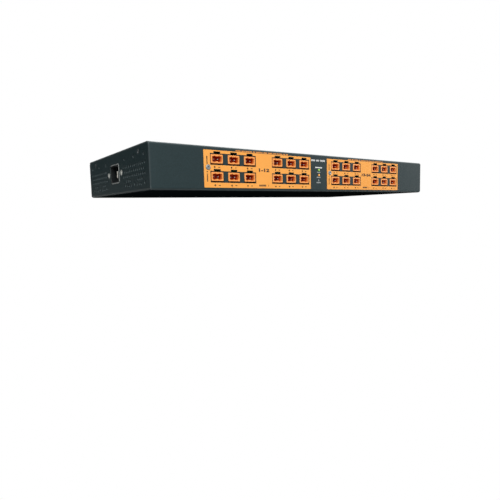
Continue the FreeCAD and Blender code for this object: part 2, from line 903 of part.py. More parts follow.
def fan_frame():
    """Square fan housing with a round bore, and a motor base on four struts next to the grille."""
    half = fan_side / 2
    frame = slab_yz(
        -half, half, fan_height - half, fan_height + half, fan_inner, fan_outer, [fan_corner_radius] * 4
    )
    seat = edges_where(frame, lambda e: lies_at(e, 0, fan_outer))
    frame = frame.makeChamfer(fan_edge_chamfer, seat)
    axis = Vector(fan_inner - overcut, 0, fan_height)
    frame = frame.cut(rod(fan_bore_radius, axis, Vector(fan_outer + overcut, 0, fan_height)))
    base_start = fan_outer - fan_base_thickness
    base = rod(fan_base_radius, Vector(base_start, 0, fan_height), Vector(fan_outer, 0, fan_height))
    reach = fan_bore_radius + fan_strut_seat
    half_strut = fan_strut_width / 2
    struts = [
        box(base_start, fan_outer, -reach, reach, fan_height - half_strut, fan_height + half_strut),
        box(base_start, fan_outer, -half_strut, half_strut, fan_height - reach, fan_height + reach),
    ]
    holes = [
        rod(
            fan_screw_hole,
            Vector(fan_inner - overcut, depth, height),
            Vector(fan_outer + overcut, depth, height),
        )
        for depth, height in fan_screw_places()
    ]
    bore_start = Vector(base_start - overcut, 0, fan_height)
    bore = rod(fan_shaft_radius + fan_shaft_gap, bore_start, Vector(fan_outer + overcut, 0, fan_height))
    return frame.fuse([base] + struts).cut(holes + [bore]).removeSplitter()


def blade_section(radius, chord, pitch):
    """Pitched rectangle at a radius on the blade's own axis, which points along +Z."""
    angle = math.radians(pitch)
    along = Vector(math.sin(angle), math.cos(angle), 0) * (chord / 2)
    across = Vector(math.cos(angle), -math.sin(angle), 0) * (blade_thickness / 2)
    lift = Vector(0, 0, radius)
    points = [lift + along + across, lift - along + across, lift - along - across, lift + along - across]
    return Part.makePolygon(points + [points[0]])


def fan_rotor():
    """Hub, shaft and twisted blades, each blade lofted from a steep root to a flatter tip."""
    hub_start = fan_inner + fan_hub_recess
    hub_end = fan_outer - fan_base_thickness - fan_hub_gap
    hub = rod(fan_hub_radius, Vector(hub_start, 0, fan_height), Vector(hub_end, 0, fan_height))
    crown = edges_where(hub, lambda e: lies_at(e, 0, hub_start))
    hub = hub.makeFillet(fan_hub_rounding, crown)
    shaft_end = Vector(hub_end + fan_shaft_length, 0, fan_height)
    shaft = rod(fan_shaft_radius, Vector(hub_end, 0, fan_height), shaft_end)
    root = blade_section(blade_root_radius, blade_root_chord, blade_root_pitch)
    tip = blade_section(blade_tip_radius, blade_tip_chord, blade_tip_pitch)
    blade = Part.makeLoft([root, tip], True, True)
    middle = Vector((hub_start + hub_end) / 2, 0, fan_height)
    blades = []
    for index in range(fan_blades):
        copy = blade.copy()
        copy.rotate(Vector(0, 0, 0), Vector(1, 0, 0), 360 * index / fan_blades)
        copy.translate(middle)
        blades.append(copy)
    return hub.fuse([shaft] + blades)


def switch_tab_heights():
    return [switch_height + step * switch_tab_step for step in (-1, 0, 1)]


def switch_housing():
    """Bezel and barrel with a well for the rocker, pivot holes in its cheeks and slots for its tabs."""
    bezel = slab_xz(
        switch_x - switch_bezel_width / 2, switch_x + switch_bezel_width / 2,
        switch_height - switch_bezel_height / 2, switch_height + switch_bezel_height / 2,
        back, back + switch_bezel_proud, [switch_bezel_radius] * 4,
    )
    barrel = box(
        switch_x - switch_barrel_width / 2, switch_x + switch_barrel_width / 2,
        back - switch_barrel_depth, back,
        switch_height - switch_barrel_height / 2, switch_height + switch_barrel_height / 2,
    )
    half_width = rocker_width / 2 + rocker_side_gap
    half_height = rocker_radius + rocker_end_gap
    well = box(
        switch_x - half_width, switch_x + half_width,
        back - switch_well_depth, back + switch_bezel_proud + overcut,
        switch_height - half_height, switch_height + half_height,
    )
    pivot_reach = rocker_width / 2 + rocker_side_gap + rocker_pin_length
    pivot_y = back + rocker_pivot_out
    pivot = rod(
        rocker_pin_radius + rocker_pin_gap,
        Vector(switch_x - pivot_reach, pivot_y, switch_height),
        Vector(switch_x + pivot_reach, pivot_y, switch_height),
    )
    slots = [switch_tab(height, blade_gap) for height in switch_tab_heights()]
    return bezel.fuse(barrel).cut([well, pivot] + slots).removeSplitter()


def switch_tab(height, gap):
    """Flat terminal in the floor of the barrel, widened all round by a gap."""
    half_width = switch_tab_width / 2 + gap
    half_thickness = switch_tab_thickness / 2 + gap
    seat = back - switch_barrel_depth
    return box(
        switch_x - half_width, switch_x + half_width,
        seat - switch_tab_length, seat + switch_tab_seat + gap,
        height - half_thickness, height + half_thickness,
    )


def switch_rocker():
    """Rocker with a shallow hollow face, round ends about its pivot and two pivot pins, tilted to its
    pressed upper end."""
    heel = math.radians(rocker_heel_angle)
    heel_rise = -rocker_radius * math.sin(heel)
    heel_height = rocker_radius * math.cos(heel)
    x0 = -rocker_width / 2

    def at(out, up):
        return Vector(x0, out, up)

    upper_tip = at(rocker_end_rise, rocker_half_height)
    lower_tip = at(rocker_end_rise, -rocker_half_height)
    upper_end = Part.Arc(upper_tip, at(0, rocker_radius), at(heel_rise, heel_height))
    lower_end = Part.Arc(at(heel_rise, -heel_height), at(0, -rocker_radius), lower_tip)
    under = [
        at(heel_rise, heel_height),
        at(-rocker_heel_depth, rocker_heel_half_height),
        at(-rocker_heel_depth, -rocker_heel_half_height),
        at(heel_rise, -heel_height),
    ]
    face = [lower_tip, at(rocker_crest, 0), upper_tip]
    legs = list(zip(under, under[1:])) + list(zip(face, face[1:]))
    runs = [Part.LineSegment(a, b).toShape() for a, b in legs]
    outline = Part.Wire(Part.__sortEdges__(runs + [upper_end.toShape(), lower_end.toShape()]))
    body = Part.Face(outline).extrude(Vector(rocker_width, 0, 0))
    pin_reach = rocker_width / 2 + rocker_side_gap + rocker_pin_length - rocker_pin_gap
    pins = rod(rocker_pin_radius, Vector(-pin_reach, 0, 0), Vector(pin_reach, 0, 0))
    rocker = body.fuse(pins).removeSplitter()
    rocker.rotate(Vector(0, 0, 0), Vector(1, 0, 0), rocker_tilt)
    rocker.translate(Vector(switch_x, back + rocker_pivot_out, switch_height))
    return rocker


def marker_strip():
    start = switch_x + switch_bezel_width / 2 + marker_gap
    return slab_xz(
        start, start + marker_length, switch_height - marker_height / 2, switch_height + marker_height / 2,
        back, back + marker_thickness, [marker_corner_radius] * 4,
    )


def supply_case(module):
    """Closed supply module with a stepped end for its terminals and tapped holes underneath."""
    start = supply_lefts()[module]
    end = start + supply_length
    case = box(start, end, supply_front, supply_back, sheet, sheet + supply_height)
    upright = Vector(0, 0, 1)
    outer = edges_where(case, lambda e: runs_along(e, upright) or e.CenterOfMass.z > sheet + same_place)
    case = case.makeFillet(supply_edge_radius, outer)
    xs = (end - terminal_recess, end + overcut)
    if module == 0:
        xs = (start - overcut, start + terminal_recess)
    step = box(
        *xs, supply_front - overcut, supply_back + overcut,
        sheet + terminal_shelf, sheet + supply_height + overcut,
    )
    holes = [
        rod(screw_radius + thread_clearance, place, place.add(Vector(0, 0, sheet + supply_hole_depth)))
        for place in supply_screw_places(module)
    ]
    return case.cut([step] + holes)


def supply_terminals(module):
    """Terminal block on the module's step: a base with upright walls between the ways."""
    start = supply_lefts()[module]
    x0 = start if module == 0 else start + supply_length - terminal_recess
    x1 = x0 + terminal_recess
    length = terminal_count * terminal_pitch
    middle = (supply_front + supply_back) / 2
    first = middle - length / 2
    seat = sheet + terminal_shelf
    base = box(x0, x1, first, first + length, seat, seat + terminal_block_height)
    top = seat + terminal_block_height
    half_wall = terminal_wall / 2
    walls = []
    for way in range(terminal_count + 1):
        place = first + way * terminal_pitch
        walls.append(box(x0, x1, place - half_wall, place + half_wall, seat, top + terminal_wall_rise))
    return base.fuse(walls).removeSplitter()


def busbars(bank):
    """Two folded copper bars from the supply module's front to the board's back."""
    inside = busbar_bend_radius - busbar_thickness
    bars = []
    for side in (-1, 1):
        x0 = label_lefts[bank] + busbar_middle + side * busbar_spread - busbar_width / 2
        x1 = x0 + busbar_width
        outer = slab_yz(
            board_back, supply_front, busbar_height, busbar_height + busbar_foot,
            x0, x1, [busbar_bend_radius, busbar_bend_radius, 0, 0],
        )
        inner = slab_yz(
            board_back + busbar_thickness, supply_front - busbar_thickness,
            busbar_height + busbar_thickness, busbar_height + busbar_foot + overcut,
            x0 - 1, x1 + 1, [inside, inside, 0, 0],
        )
        bars.append(outer.cut(inner))
    return bars


def save(name, pieces):
    """Writes one node, which is one solid or a group of separate solids."""
    shape = Part.makeCompound(pieces) if isinstance(pieces, list) else pieces
    shape.exportStep(f"parts/{name}.step")


os.makedirs("parts", exist_ok=True)
save("chassis_tray", chassis_tray())
save("top_cover", top_cover())
housing = outlet_housing()
for bank in range(bank_count):
    number = bank + 1
    save(f"outlet_label_{number}", outlet_label(bank))
    for index, (x, z) in enumerate(outlet_places(bank)):
        save(f"outlet_{number}_{index + 1:02d}", housing.translated(Vector(x, front - outlet_proud, z)))
    save(f"outlet_pins_{number}", outlet_pins(bank))
    save(f"outlet_board_{number}", outlet_board(bank))
    save(f"outlet_fuses_{number}", outlet_fuses(bank))
    save(f"busbars_{number}", busbars(bank))
    save(f"supply_case_{number}", supply_case(bank))
    save(f"supply_terminals_{number}", supply_terminals(bank))
save("board_standoffs", board_standoffs())
save("status_board", status_board())
save("power_lamp", status_lamp(status_lamp_heights[0]))
save("fault_lamp", status_lamp(status_lamp_heights[1]))
save("reset_switch", reset_switch())
save("reset_button", reset_button())
save("inlet_housing", inlet_housing())
save("inlet_blades", inlet_blades())
save("fan_frame", fan_frame())
save("fan_rotor", fan_rotor())
save("switch_housing", switch_housing())
save("switch_rocker", switch_rocker())
save("switch_tabs", [switch_tab(height, 0) for height in switch_tab_heights()])
save("marker_strip", marker_strip())
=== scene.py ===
import math
import bmesh
import bpy
import numpy as np
from mathutils import Matrix, Vector


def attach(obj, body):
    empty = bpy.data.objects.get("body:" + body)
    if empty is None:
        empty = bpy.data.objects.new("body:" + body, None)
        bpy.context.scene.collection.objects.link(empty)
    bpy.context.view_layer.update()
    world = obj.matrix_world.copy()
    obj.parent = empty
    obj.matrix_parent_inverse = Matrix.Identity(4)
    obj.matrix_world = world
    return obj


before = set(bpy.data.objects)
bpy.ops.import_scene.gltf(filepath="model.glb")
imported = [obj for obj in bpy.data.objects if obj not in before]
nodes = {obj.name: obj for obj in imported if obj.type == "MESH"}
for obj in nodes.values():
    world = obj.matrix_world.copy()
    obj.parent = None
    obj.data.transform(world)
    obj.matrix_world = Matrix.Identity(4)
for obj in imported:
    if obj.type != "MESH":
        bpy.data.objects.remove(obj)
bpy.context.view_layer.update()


# Folded tray and cover. The tray is one sheet of 1.2 mm steel, punched flat, folded up and powder coated
# inside and out; the cover is a second sheet that lies on its ledges. The coat is a baked charcoal
# polyester, matt, with a fine pebbled skin. A paler band along the folds and corners is partly thinner
# coat and mostly painted highlight; the paler rims inside the punched holes are painted highlight.
CASE_HALF_WIDTH = 0.216
CASE_HALF_DEPTH = 0.093
CASE_HEIGHT = 0.0437


def linear(hex_colour):
    """sRGB hex to linear: a channel c in 0..1 gives c/12.92 below 0.04045, else
    ((c + 0.055)/1.055)^2.4."""
    c = np.array([int(hex_colour[i:i + 2], 16) for i in (1, 3, 5)]) / 255
    return (*np.where(c < 0.04045, c / 12.92, ((c + 0.055) / 1.055) ** 2.4).tolist(), 1.0)


def add(tree, kind, inputs, **settings):
    """Adds one node. Each input is a plain value or the output socket that feeds it."""
    node = tree.nodes.new("ShaderNode" + kind)
    for name, value in settings.items():
        setattr(node, name, value)
    for socket, value in inputs.items():
        if isinstance(value, bpy.types.NodeSocket):
            tree.links.new(value, node.inputs[socket])
        else:
            node.inputs[socket].default_value = value
    return node


def start_material(name):
    """Empty material, its node tree and the Object coordinates that every pattern here is drawn in."""
    material = bpy.data.materials.new(name)
    material.use_nodes = True
    tree = material.node_tree
    tree.nodes.clear()
    place = add(tree, "TexCoord", {}).outputs["Object"]
    return material, tree, place


def coat(material, *names):
    """Gives CAD nodes a material; their meshes and places stay as they are."""
    for name in names:
        nodes[name].material_slots[0].material = material


# Pebble of a powder coat is about 0.4 mm; it is drawn at 0.9 mm so that it shows at this distance.
PEBBLE = 0.0009
PEBBLE_HEIGHT = 0.00012
HANDLING_PATCH = 0.06
EDGE_BAND = 0.0016
SHEET = 0.0012
PUNCHED_HALF_BAND = 0.000516
FOLD_ZONE = 0.004
PAINTED_HIGHLIGHT_COAT = linear("#566062")
powder_coat, tree, place = start_material("charcoal_powder_coat")
axes = add(tree, "SeparateXYZ", {"Vector": place})
to_end = add(tree, "Math", {0: CASE_HALF_WIDTH, 1: add(
    tree, "Math", {0: axes.outputs["X"]}, operation="ABSOLUTE").outputs[0]}, operation="SUBTRACT")
to_face = add(tree, "Math", {0: CASE_HALF_DEPTH, 1: add(
    tree, "Math", {0: axes.outputs["Y"]}, operation="ABSOLUTE").outputs[0]}, operation="SUBTRACT")
to_top = add(tree, "Math", {0: CASE_HEIGHT, 1: axes.outputs["Z"]}, operation="SUBTRACT")
to_lid = add(tree, "Math", {0: to_top.outputs[0], 1: axes.outputs["Z"]}, operation="MINIMUM")
# How near a point lies to a fold is told by the second nearest of the end, the face and the top or floor.
nearer = add(tree, "Math", {0: to_end.outputs[0], 1: to_face.outputs[0]}, operation="MINIMUM")
farther = add(tree, "Math", {0: to_end.outputs[0], 1: to_face.outputs[0]}, operation="MAXIMUM")
other = add(tree, "Math", {0: farther.outputs[0], 1: to_lid.outputs[0]}, operation="MINIMUM")
from_edge = add(tree, "Math", {0: nearer.outputs[0], 1: other.outputs[0]}, operation="MAXIMUM")
pebble = add(tree, "TexNoise", {"Vector": place, "Scale": 1 / PEBBLE, "Detail": 2.0, "Roughness": 0.6})
patches = add(tree, "TexNoise", {"Vector": place, "Scale": 1 / HANDLING_PATCH, "Detail": 4.0})
# Painted highlight, partly thinner coat: a paler band runs within EDGE_BAND of every fold and corner.
ragged = add(tree, "Math", {0: patches.outputs[0], 1: EDGE_BAND}, operation="MULTIPLY")
fold_highlight_band = add(tree, "MapRange", {
    "Value": from_edge.outputs[0], "From Min": ragged.outputs[0], "From Max": EDGE_BAND,
    "To Min": 1.0, "To Max": 0.0}, interpolation_type="SMOOTHSTEP")
grain_tone = add(tree, "MapRange", {
    "Value": pebble.outputs[0], "From Min": 0.3, "From Max": 0.7, "To Min": 0.0, "To Max": 1.0})
skin = add(tree, "Mix", {
    "Factor": grain_tone.outputs[0], "A": linear("#1A292B"), "B": linear("#223235")}, data_type="RGBA")
handled = add(tree, "MapRange", {
    "Value": patches.outputs[0], "From Min": 0.35, "From Max": 0.75, "To Min": 0.0, "To Max": 0.22})
tone = add(tree, "Mix", {
    "Factor": handled.outputs[0], "A": skin.outputs["Result"], "B": linear("#344043")}, data_type="RGBA")
# Painted highlight: the level folds at the top and the floor are painted paler than the upright corners,
# for light that catches them.
level_fold = add(tree, "MapRange", {
    "Value": to_lid.outputs[0], "From Min": 0.0, "From Max": FOLD_ZONE, "To Min": 1.0, "To Max": 0.0})
fold_highlight_tone = add(tree, "Mix", {
    "Factor": level_fold.outputs[0], "A": linear("#343E40"), "B": PAINTED_HIGHLIGHT_COAT}, data_type="RGBA")
edge_highlighted = add(tree, "Mix", {
    "Factor": fold_highlight_band.outputs[0], "A": tone.outputs["Result"], "B": fold_highlight_tone.outputs["Result"]},
    data_type="RGBA")
# Painted highlight: the punched edges of the end walls are painted paler inside the holes, for light
# caught on their far rims.
in_sheet = add(tree, "Math", {
    0: to_end.outputs[0], 1: SHEET / 2, 2: PUNCHED_HALF_BAND}, operation="COMPARE")
off_fold = add(tree, "Math", {0: add(
    tree, "Math", {0: to_face.outputs[0], 1: to_lid.outputs[0]}, operation="MINIMUM").outputs[0],
    1: FOLD_ZONE}, operation="GREATER_THAN")
punched = add(tree, "Math", {0: in_sheet.outputs[0], 1: off_fold.outputs[0]}, operation="MULTIPLY")
rim_highlighted = add(tree, "Mix", {
    "Factor": punched.outputs[0], "A": edge_highlighted.outputs["Result"], "B": PAINTED_HIGHLIGHT_COAT}, data_type="RGBA")
dull = add(tree, "MapRange", {
    "Value": patches.outputs[0], "From Min": 0.3, "From Max": 0.7, "To Min": 0.42, "To Max": 0.5})
relief = add(tree, "Bump", {"Height": pebble.outputs[0], "Strength": 0.22, "Distance": PEBBLE_HEIGHT})
surface = add(tree, "BsdfPrincipled", {
    "Base Color": rim_highlighted.outputs["Result"], "Roughness": dull.outputs[0], "Normal": relief.outputs[0],
    "IOR": 1.5, "Specular IOR Level": 0.22})
add(tree, "OutputMaterial", {"Surface": surface.outputs[0]})
coat(powder_coat, "chassis_tray", "top_cover")


# Panel print. White, grey and orange screen inks lie on the powder coat, cured to a dry satin skin: a
# title line, a bar over the lamps, a legend under each lamp and the button, a line over each label, and
# ON and OFF at the switch. Small lines are rows of plain blocks.
INK_LIFT = 0.00003
INK_THICKNESS = 0.00002
# Marks of the screen's mesh are about 0.1 mm; they are drawn at 0.5 mm so that they show.
INK_MOTTLE = 0.0005
BLOCK_CORNER = 0.25
BLOCK_WIDTH = 0.62
BLOCK_PITCH = 0.8
CORNER_POINTS = 4
LETTER_CURVE_STEPS = 3
OUTLET_WALL = -CASE_HALF_DEPTH - INK_LIFT
SWITCH_WALL = CASE_HALF_DEPTH + INK_LIFT
COLUMN_MIDDLE = -0.0009
TITLE_SPAN = (-0.0136, 0.0110)
TITLE_HEIGHTS = (0.0356, 0.0377)
TITLE_GROUPS = (4, 3, 5)
LAMP_LINE_SPAN = (-0.0070, 0.0046)
LAMP_LINE_HEIGHTS = (0.0277, 0.0291)
LEGEND_HALF_SPANS = (0.0028, 0.0036, 0.0041)
LEGEND_HEIGHTS = (0.0222, 0.0162, 0.0100)
LEGEND_SIZE = 0.0013
LEGEND_GROUPS = (9,)
LABEL_LEFTS = (-0.1598, 0.0130)
LABEL_LINE_SPAN = (0.0384, 0.1110)
LABEL_LINE_HEIGHTS = (0.0400, 0.0413)
LABEL_LINE_GROUPS = (6, 4, 8, 3, 9, 5)
SWITCH_X = -0.1797
ON_HEIGHT = 0.0395
OFF_HEIGHT = 0.0042
SWITCH_LETTER = 0.0016
SWITCH_WIDENING = 1.1
SWITCH_WEIGHT = 0.012


def block(u0, u1, v0, v1):
    """One rounded rectangle: four quarter circles of a quarter of its shorter side, in order round it."""
    radius = BLOCK_CORNER * min(u1 - u0, v1 - v0)
    quarter = np.arange(4)[:, None]
    angle = (quarter + np.linspace(0, 1, CORNER_POINTS)[None, :]) * np.pi / 2
    middle = (quarter + 0.5) * np.pi / 2
    u = np.where(np.cos(middle) > 0, u1 - radius, u0 + radius) + radius * np.cos(angle)
    v = np.where(np.sin(middle) > 0, v1 - radius, v0 + radius) + radius * np.sin(angle)
    return np.stack([u.ravel(), v.ravel()], axis=-1), [tuple(range(4 * CORNER_POINTS))]


def block_row(span, heights, groups):
    """Blocks along a row, their width and pitch in parts of the row's height, with one left out after
    each group; the groups' counts repeat."""
    size = heights[1] - heights[0]
    pitch = BLOCK_PITCH * size
    count = int((span[1] - span[0]) / pitch)
    breaks = np.cumsum(np.resize(groups, count)) + np.arange(count)
    starts = span[0] + pitch * np.array([i for i in range(count) if i not in breaks])
    return [block(u, u + BLOCK_WIDTH * size, *heights) for u in starts]


def word(text, height, middle, widening, weight):
    """A word in Blender's own font, centred on a point: its capitals get the height given, its strokes
    are thickened by a weight in parts of the letter size, and its width is multiplied by the widening."""
    curve = bpy.data.curves.new(text, "FONT")
    curve.body = text
    curve.offset = weight
    curve.resolution_u = LETTER_CURVE_STEPS
    holder = bpy.data.objects.new(text, curve)
    flat = bpy.data.meshes.new_from_object(holder)
    points = np.empty(3 * len(flat.vertices))
    flat.vertices.foreach_get("co", points)
    points = points.reshape(-1, 3)[:, :2]
    low, high = points.min(axis=0), points.max(axis=0)
    faces = [tuple(face.vertices) for face in flat.polygons]
    bpy.data.objects.remove(holder)
    bpy.data.curves.remove(curve)
    bpy.data.meshes.remove(flat)
    scale = height / (high - low)[1] * np.array((widening, 1.0))
    return (points - (low + high) / 2) * scale + np.array(middle), faces


def show(name, mesh, material, body):
    """Puts a mesh into the scene as a piece of a body."""
    mesh.materials.append(material)
    made = bpy.data.objects.new(name, mesh)
    bpy.context.scene.collection.objects.link(made)
    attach(made, body)
    return made


def print_on(name, shapes, wall, material):
    """Flat shapes (u, v) printed on a wall: on the outlet side they go to (u, wall, v), on the switch
    side, which is read from behind, to (-u, wall, v). The ink is thickened towards the wall."""
    side = -1 if wall > 0 else 1
    starts = np.cumsum([0] + [len(points) for points, faces in shapes])
    flat = np.concatenate([points for points, faces in shapes])
    corners = np.stack([side * flat[:, 0], np.full(len(flat), wall), flat[:, 1]], axis=-1)
    faces = [tuple(start + i for i in face) for start, shape in zip(starts, shapes) for face in shape[1]]
    mesh = bpy.data.meshes.new(name)
    mesh.from_pydata(corners.tolist(), [], faces)
    skin = show(name, mesh, material, "case").modifiers.new("ink_thickness", "SOLIDIFY")
    skin.thickness = INK_THICKNESS
    skin.offset = -1


def screen_ink(name, thin, full):
    """Screen ink: the screen's mesh leaves it a shade thinner in spots."""
    material, tree, place = start_material(name)
    mesh_marks = add(tree, "TexNoise", {"Vector": place, "Scale": 1 / INK_MOTTLE, "Detail": 2.0})
    laid = add(tree, "Mix", {
        "Factor": mesh_marks.outputs[0], "A": linear(thin), "B": linear(full)}, data_type="RGBA")
    satin = add(tree, "MapRange", {"Value": mesh_marks.outputs[0], "To Min": 0.5, "To Max": 0.65})
    surface = add(tree, "BsdfPrincipled", {
        "Base Color": laid.outputs["Result"], "Roughness": satin.outputs[0], "Specular IOR Level": 0.2})
    add(tree, "OutputMaterial", {"Surface": surface.outputs[0]})
    return material


white_ink = screen_ink("white_screen_ink", "#D6D6D4", "#E4E4E2")
grey_ink = screen_ink("grey_screen_ink", "#9CA1A1", "#B2B6B6")
orange_ink = screen_ink("orange_screen_ink", "#E8954A", "#F2A456")
print_on(
    "title_print",
    block_row(TITLE_SPAN, TITLE_HEIGHTS, TITLE_GROUPS) + [block(*LAMP_LINE_SPAN, *LAMP_LINE_HEIGHTS)],
    OUTLET_WALL, white_ink)
legends = [
    block_row((COLUMN_MIDDLE - half, COLUMN_MIDDLE + half), (foot, foot + LEGEND_SIZE), LEGEND_GROUPS)
    for half, foot in zip(LEGEND_HALF_SPANS, LEGEND_HEIGHTS)
]
print_on("legend_print", sum(legends, []), OUTLET_WALL, grey_ink)
label_lines = [
    block_row(
        (left + LABEL_LINE_SPAN[0], left + LABEL_LINE_SPAN[1]), LABEL_LINE_HEIGHTS, LABEL_LINE_GROUPS)
    for left in LABEL_LEFTS
]
print_on("label_line_print", sum(label_lines, []), OUTLET_WALL, orange_ink)
switch_words = [
    word(text, SWITCH_LETTER, (-SWITCH_X, height), SWITCH_WIDENING, SWITCH_WEIGHT)
    for text, height in (("ON", ON_HEIGHT), ("OFF", OFF_HEIGHT))
]
print_on("switch_print", switch_words, SWITCH_WALL, white_ink)


# Cover screws. Four countersunk 3 mm steel screws, black oxide finished, cold headed with a cross recess;
# they pass the end walls into the cover's folded tabs and lie flush with the wall.
SUNK_HEAD_RADIUS = 0.00245
SUNK_RIM = 0.045
SUNK_RIM_DROP = 0.000315
SUNK_BELOW_WALL = 0.00006
SEAT_TUCK = 0.00005
FLAT_SEAT = 0.0
CONE_SEAT = 1.0
SHANK_RADIUS = 0.0014
SHANK_LENGTH = 0.0055
RECESS_DEPTH = 0.0011
RECESS_HALF_WIDTH = 0.00045
RECESS_WALL = 0.00018
RECESS_HALF_LENGTH = 0.00155
RECESS_FALL = 1.35
COVER_SCREW_HEIGHT = 0.0374
COVER_SCREW_DEPTH = 0.0681
COVER_SCREW_TURNS = (-1.4, 0.0, 0.8, 2.2)
RINGS = 22
SPOKES = 64
SAME_POINT = 1e-7
RUBBED_SPOT = 0.0012


def cross_recess(across, along):
    """Depth of the cross at plan points: each arm is a smooth step in from its side walls times a
    straight fall from its end towards the middle, and the deeper arm counts."""
    def arm(u, v):
        wall = np.clip((RECESS_HALF_WIDTH - np.abs(u)) / RECESS_WALL, 0, 1)
        fall = np.clip(RECESS_FALL * (1 - np.abs(v) / RECESS_HALF_LENGTH), 0, 1)
        return wall * wall * (3 - 2 * wall) * fall
    return RECESS_DEPTH * np.maximum(arm(across, along), arm(along, across))


def screw_sheet(radius, profile, turn, seat_slope):
    """Screw as rings round its axis. The top is a height over a disc, point (r cos a, r sin a,
    profile(r/R) - cross(r, a)), its rings closer together near the rim and the cross turned by an angle;
    from the rim the seat runs in to the shank, flat or at a slope, and the shank runs down and closes on
    the axis."""
    share = np.sin(np.linspace(0, 0.5 * np.pi, RINGS))[:, None]
    angle = np.linspace(0, 2 * np.pi, SPOKES + 1)[None, :]
    cross = cross_recess(radius * share * np.cos(angle - turn), radius * share * np.sin(angle - turn))
    seat = profile(np.ones(1))[0] - SEAT_TUCK
    neck = seat - seat_slope * (radius - SHANK_RADIUS)
    under = np.array([
        (radius, seat), (SHANK_RADIUS, neck), (SHANK_RADIUS, -SHANK_LENGTH), (0, -SHANK_LENGTH)])
    rings = np.concatenate([radius * share, under[:, :1]])
    height = np.concatenate([profile(share) - cross, under[:, 1:] + np.zeros_like(angle)])
    return np.stack([rings * np.cos(angle), rings * np.sin(angle), height], axis=-1)


def sunk_profile(share):
    """Flat top, a little below the wall, with the last share of the radius falling away straight."""
    rim = np.clip((share - 1 + SUNK_RIM) / SUNK_RIM, 0, 1)
    return -SUNK_BELOW_WALL - SUNK_RIM_DROP * rim


def stand_on(sheet, spot, outward):
    """Carries a sheet made facing +Z to a spot on a wall: its x, y and z go to two wall directions and
    the wall's outward direction."""
    out = np.array(outward, float)
    side = np.cross((0, 0, 1), out) if abs(out[2]) < 0.5 else np.array((1.0, 0, 0))
    up = np.cross(out, side)
    return np.array(spot) + sheet[..., :1] * side + sheet[..., 1:2] * up + sheet[..., 2:] * out


def piece(name, sheets, material, body):
    """One mesh from sheets of points, rows by columns by three: the four points round each cell make a
    face, which looks outwards by their order. Doubled points at seams and poles are merged."""
    points = []
    quads = []
    start = 0
    for sheet in sheets:
        rows, columns = sheet.shape[:2]
        index = start + np.arange(rows * columns).reshape(rows, columns)
        cells = np.stack([index[:-1, :-1], index[1:, :-1], index[1:, 1:], index[:-1, 1:]], axis=-1)
        points.append(sheet.reshape(-1, 3))
        quads.append(cells.reshape(-1, 4))
        start += rows * columns
    mesh = bpy.data.meshes.new(name)
    mesh.from_pydata(np.concatenate(points).tolist(), [], np.concatenate(quads).tolist())
    work = bmesh.new()
    work.from_mesh(mesh)
    bmesh.ops.remove_doubles(work, verts=work.verts, dist=SAME_POINT)
    work.to_mesh(mesh)
    work.free()
    mesh.shade_smooth()
    show(name, mesh, material, body)


# Black oxide is a thin iron oxide skin: nearly black, with a soft oily metal sheen and bare rubbed spots.
black_oxide, tree, place = start_material("black_oxide_steel")
rubbed = add(tree, "TexNoise", {"Vector": place, "Scale": 1 / RUBBED_SPOT, "Detail": 3.0})
bare = add(tree, "MapRange", {
    "Value": rubbed.outputs[0], "From Min": 0.5, "From Max": 0.75, "To Min": 0.0, "To Max": 0.7})
oxide = add(tree, "Mix", {
    "Factor": bare.outputs[0], "A": linear("#4A4F51"), "B": linear("#9CA1A3")}, data_type="RGBA")
rough = add(tree, "MapRange", {"Value": rubbed.outputs[0], "To Min": 0.28, "To Max": 0.5})
surface = add(tree, "BsdfPrincipled", {
    "Base Color": oxide.outputs["Result"], "Roughness": rough.outputs[0], "Metallic": 0.85})
add(tree, "OutputMaterial", {"Surface": surface.outputs[0]})
cover_corners = [(side, face) for side in (-1, 1) for face in (-1, 1)]
cover_screws = [
    stand_on(
        screw_sheet(SUNK_HEAD_RADIUS, sunk_profile, turn, CONE_SEAT),
        (side * CASE_HALF_WIDTH, face * COVER_SCREW_DEPTH, COVER_SCREW_HEIGHT), (side, 0, 0))
    for (side, face), turn in zip(cover_corners, COVER_SCREW_TURNS)
]
piece("cover_screws", cover_screws, black_oxide, "case")


# Bank labels. Each is a die-cut polycarbonate film, screen printed orange on its back and glued to the
# outlet wall, with windows round the sockets; the velvet front face scatters light softly.
# The velvet's grain is about 0.1 mm; it is drawn at 0.6 mm so that it shows.
VELVET = 0.0006
VELVET_HEIGHT = 0.00005
FLOOD_CLOUD = 0.018
printed_film, tree, place = start_material("orange_printed_polycarbonate_film")
velvet = add(tree, "TexNoise", {"Vector": place, "Scale": 1 / VELVET, "Detail": 2.0})
cloudy = add(tree, "TexNoise", {"Vector": place, "Scale": 1 / FLOOD_CLOUD, "Detail": 3.0})
ink_depth = add(tree, "MapRange", {
    "Value": cloudy.outputs[0], "From Min": 0.3, "From Max": 0.7, "To Min": 0.0, "To Max": 1.0})
flooded = add(tree, "Mix", {
    "Factor": ink_depth.outputs[0], "A": linear("#FAA84C"), "B": linear("#FCAE54")}, data_type="RGBA")
satin = add(tree, "MapRange", {"Value": velvet.outputs[0], "To Min": 0.42, "To Max": 0.58})
tooth = add(tree, "Bump", {"Height": velvet.outputs[0], "Strength": 0.1, "Distance": VELVET_HEIGHT})
surface = add(tree, "BsdfPrincipled", {
    "Base Color": flooded.outputs["Result"], "Roughness": satin.outputs[0], "Normal": tooth.outputs[0],
    "IOR": 1.58, "Specular IOR Level": 0.25})
add(tree, "OutputMaterial", {"Surface": surface.outputs[0]})
coat(printed_film, "outlet_label_1", "outlet_label_2")
LABEL_FACE = -0.09325
SOCKET_STEPS = (0.0154, 0.0356, 0.0558, 0.0941, 0.1143, 0.1345)
SIGN_ROWS = (0.0232, 0.0052)
PLUS_OFFSET = -0.0030
MINUS_OFFSET = 0.0023
SIGN_HALF_LENGTH = 0.0011
SIGN_HALF_STROKE = 0.0004
FIELD_MIDDLE = 0.0749
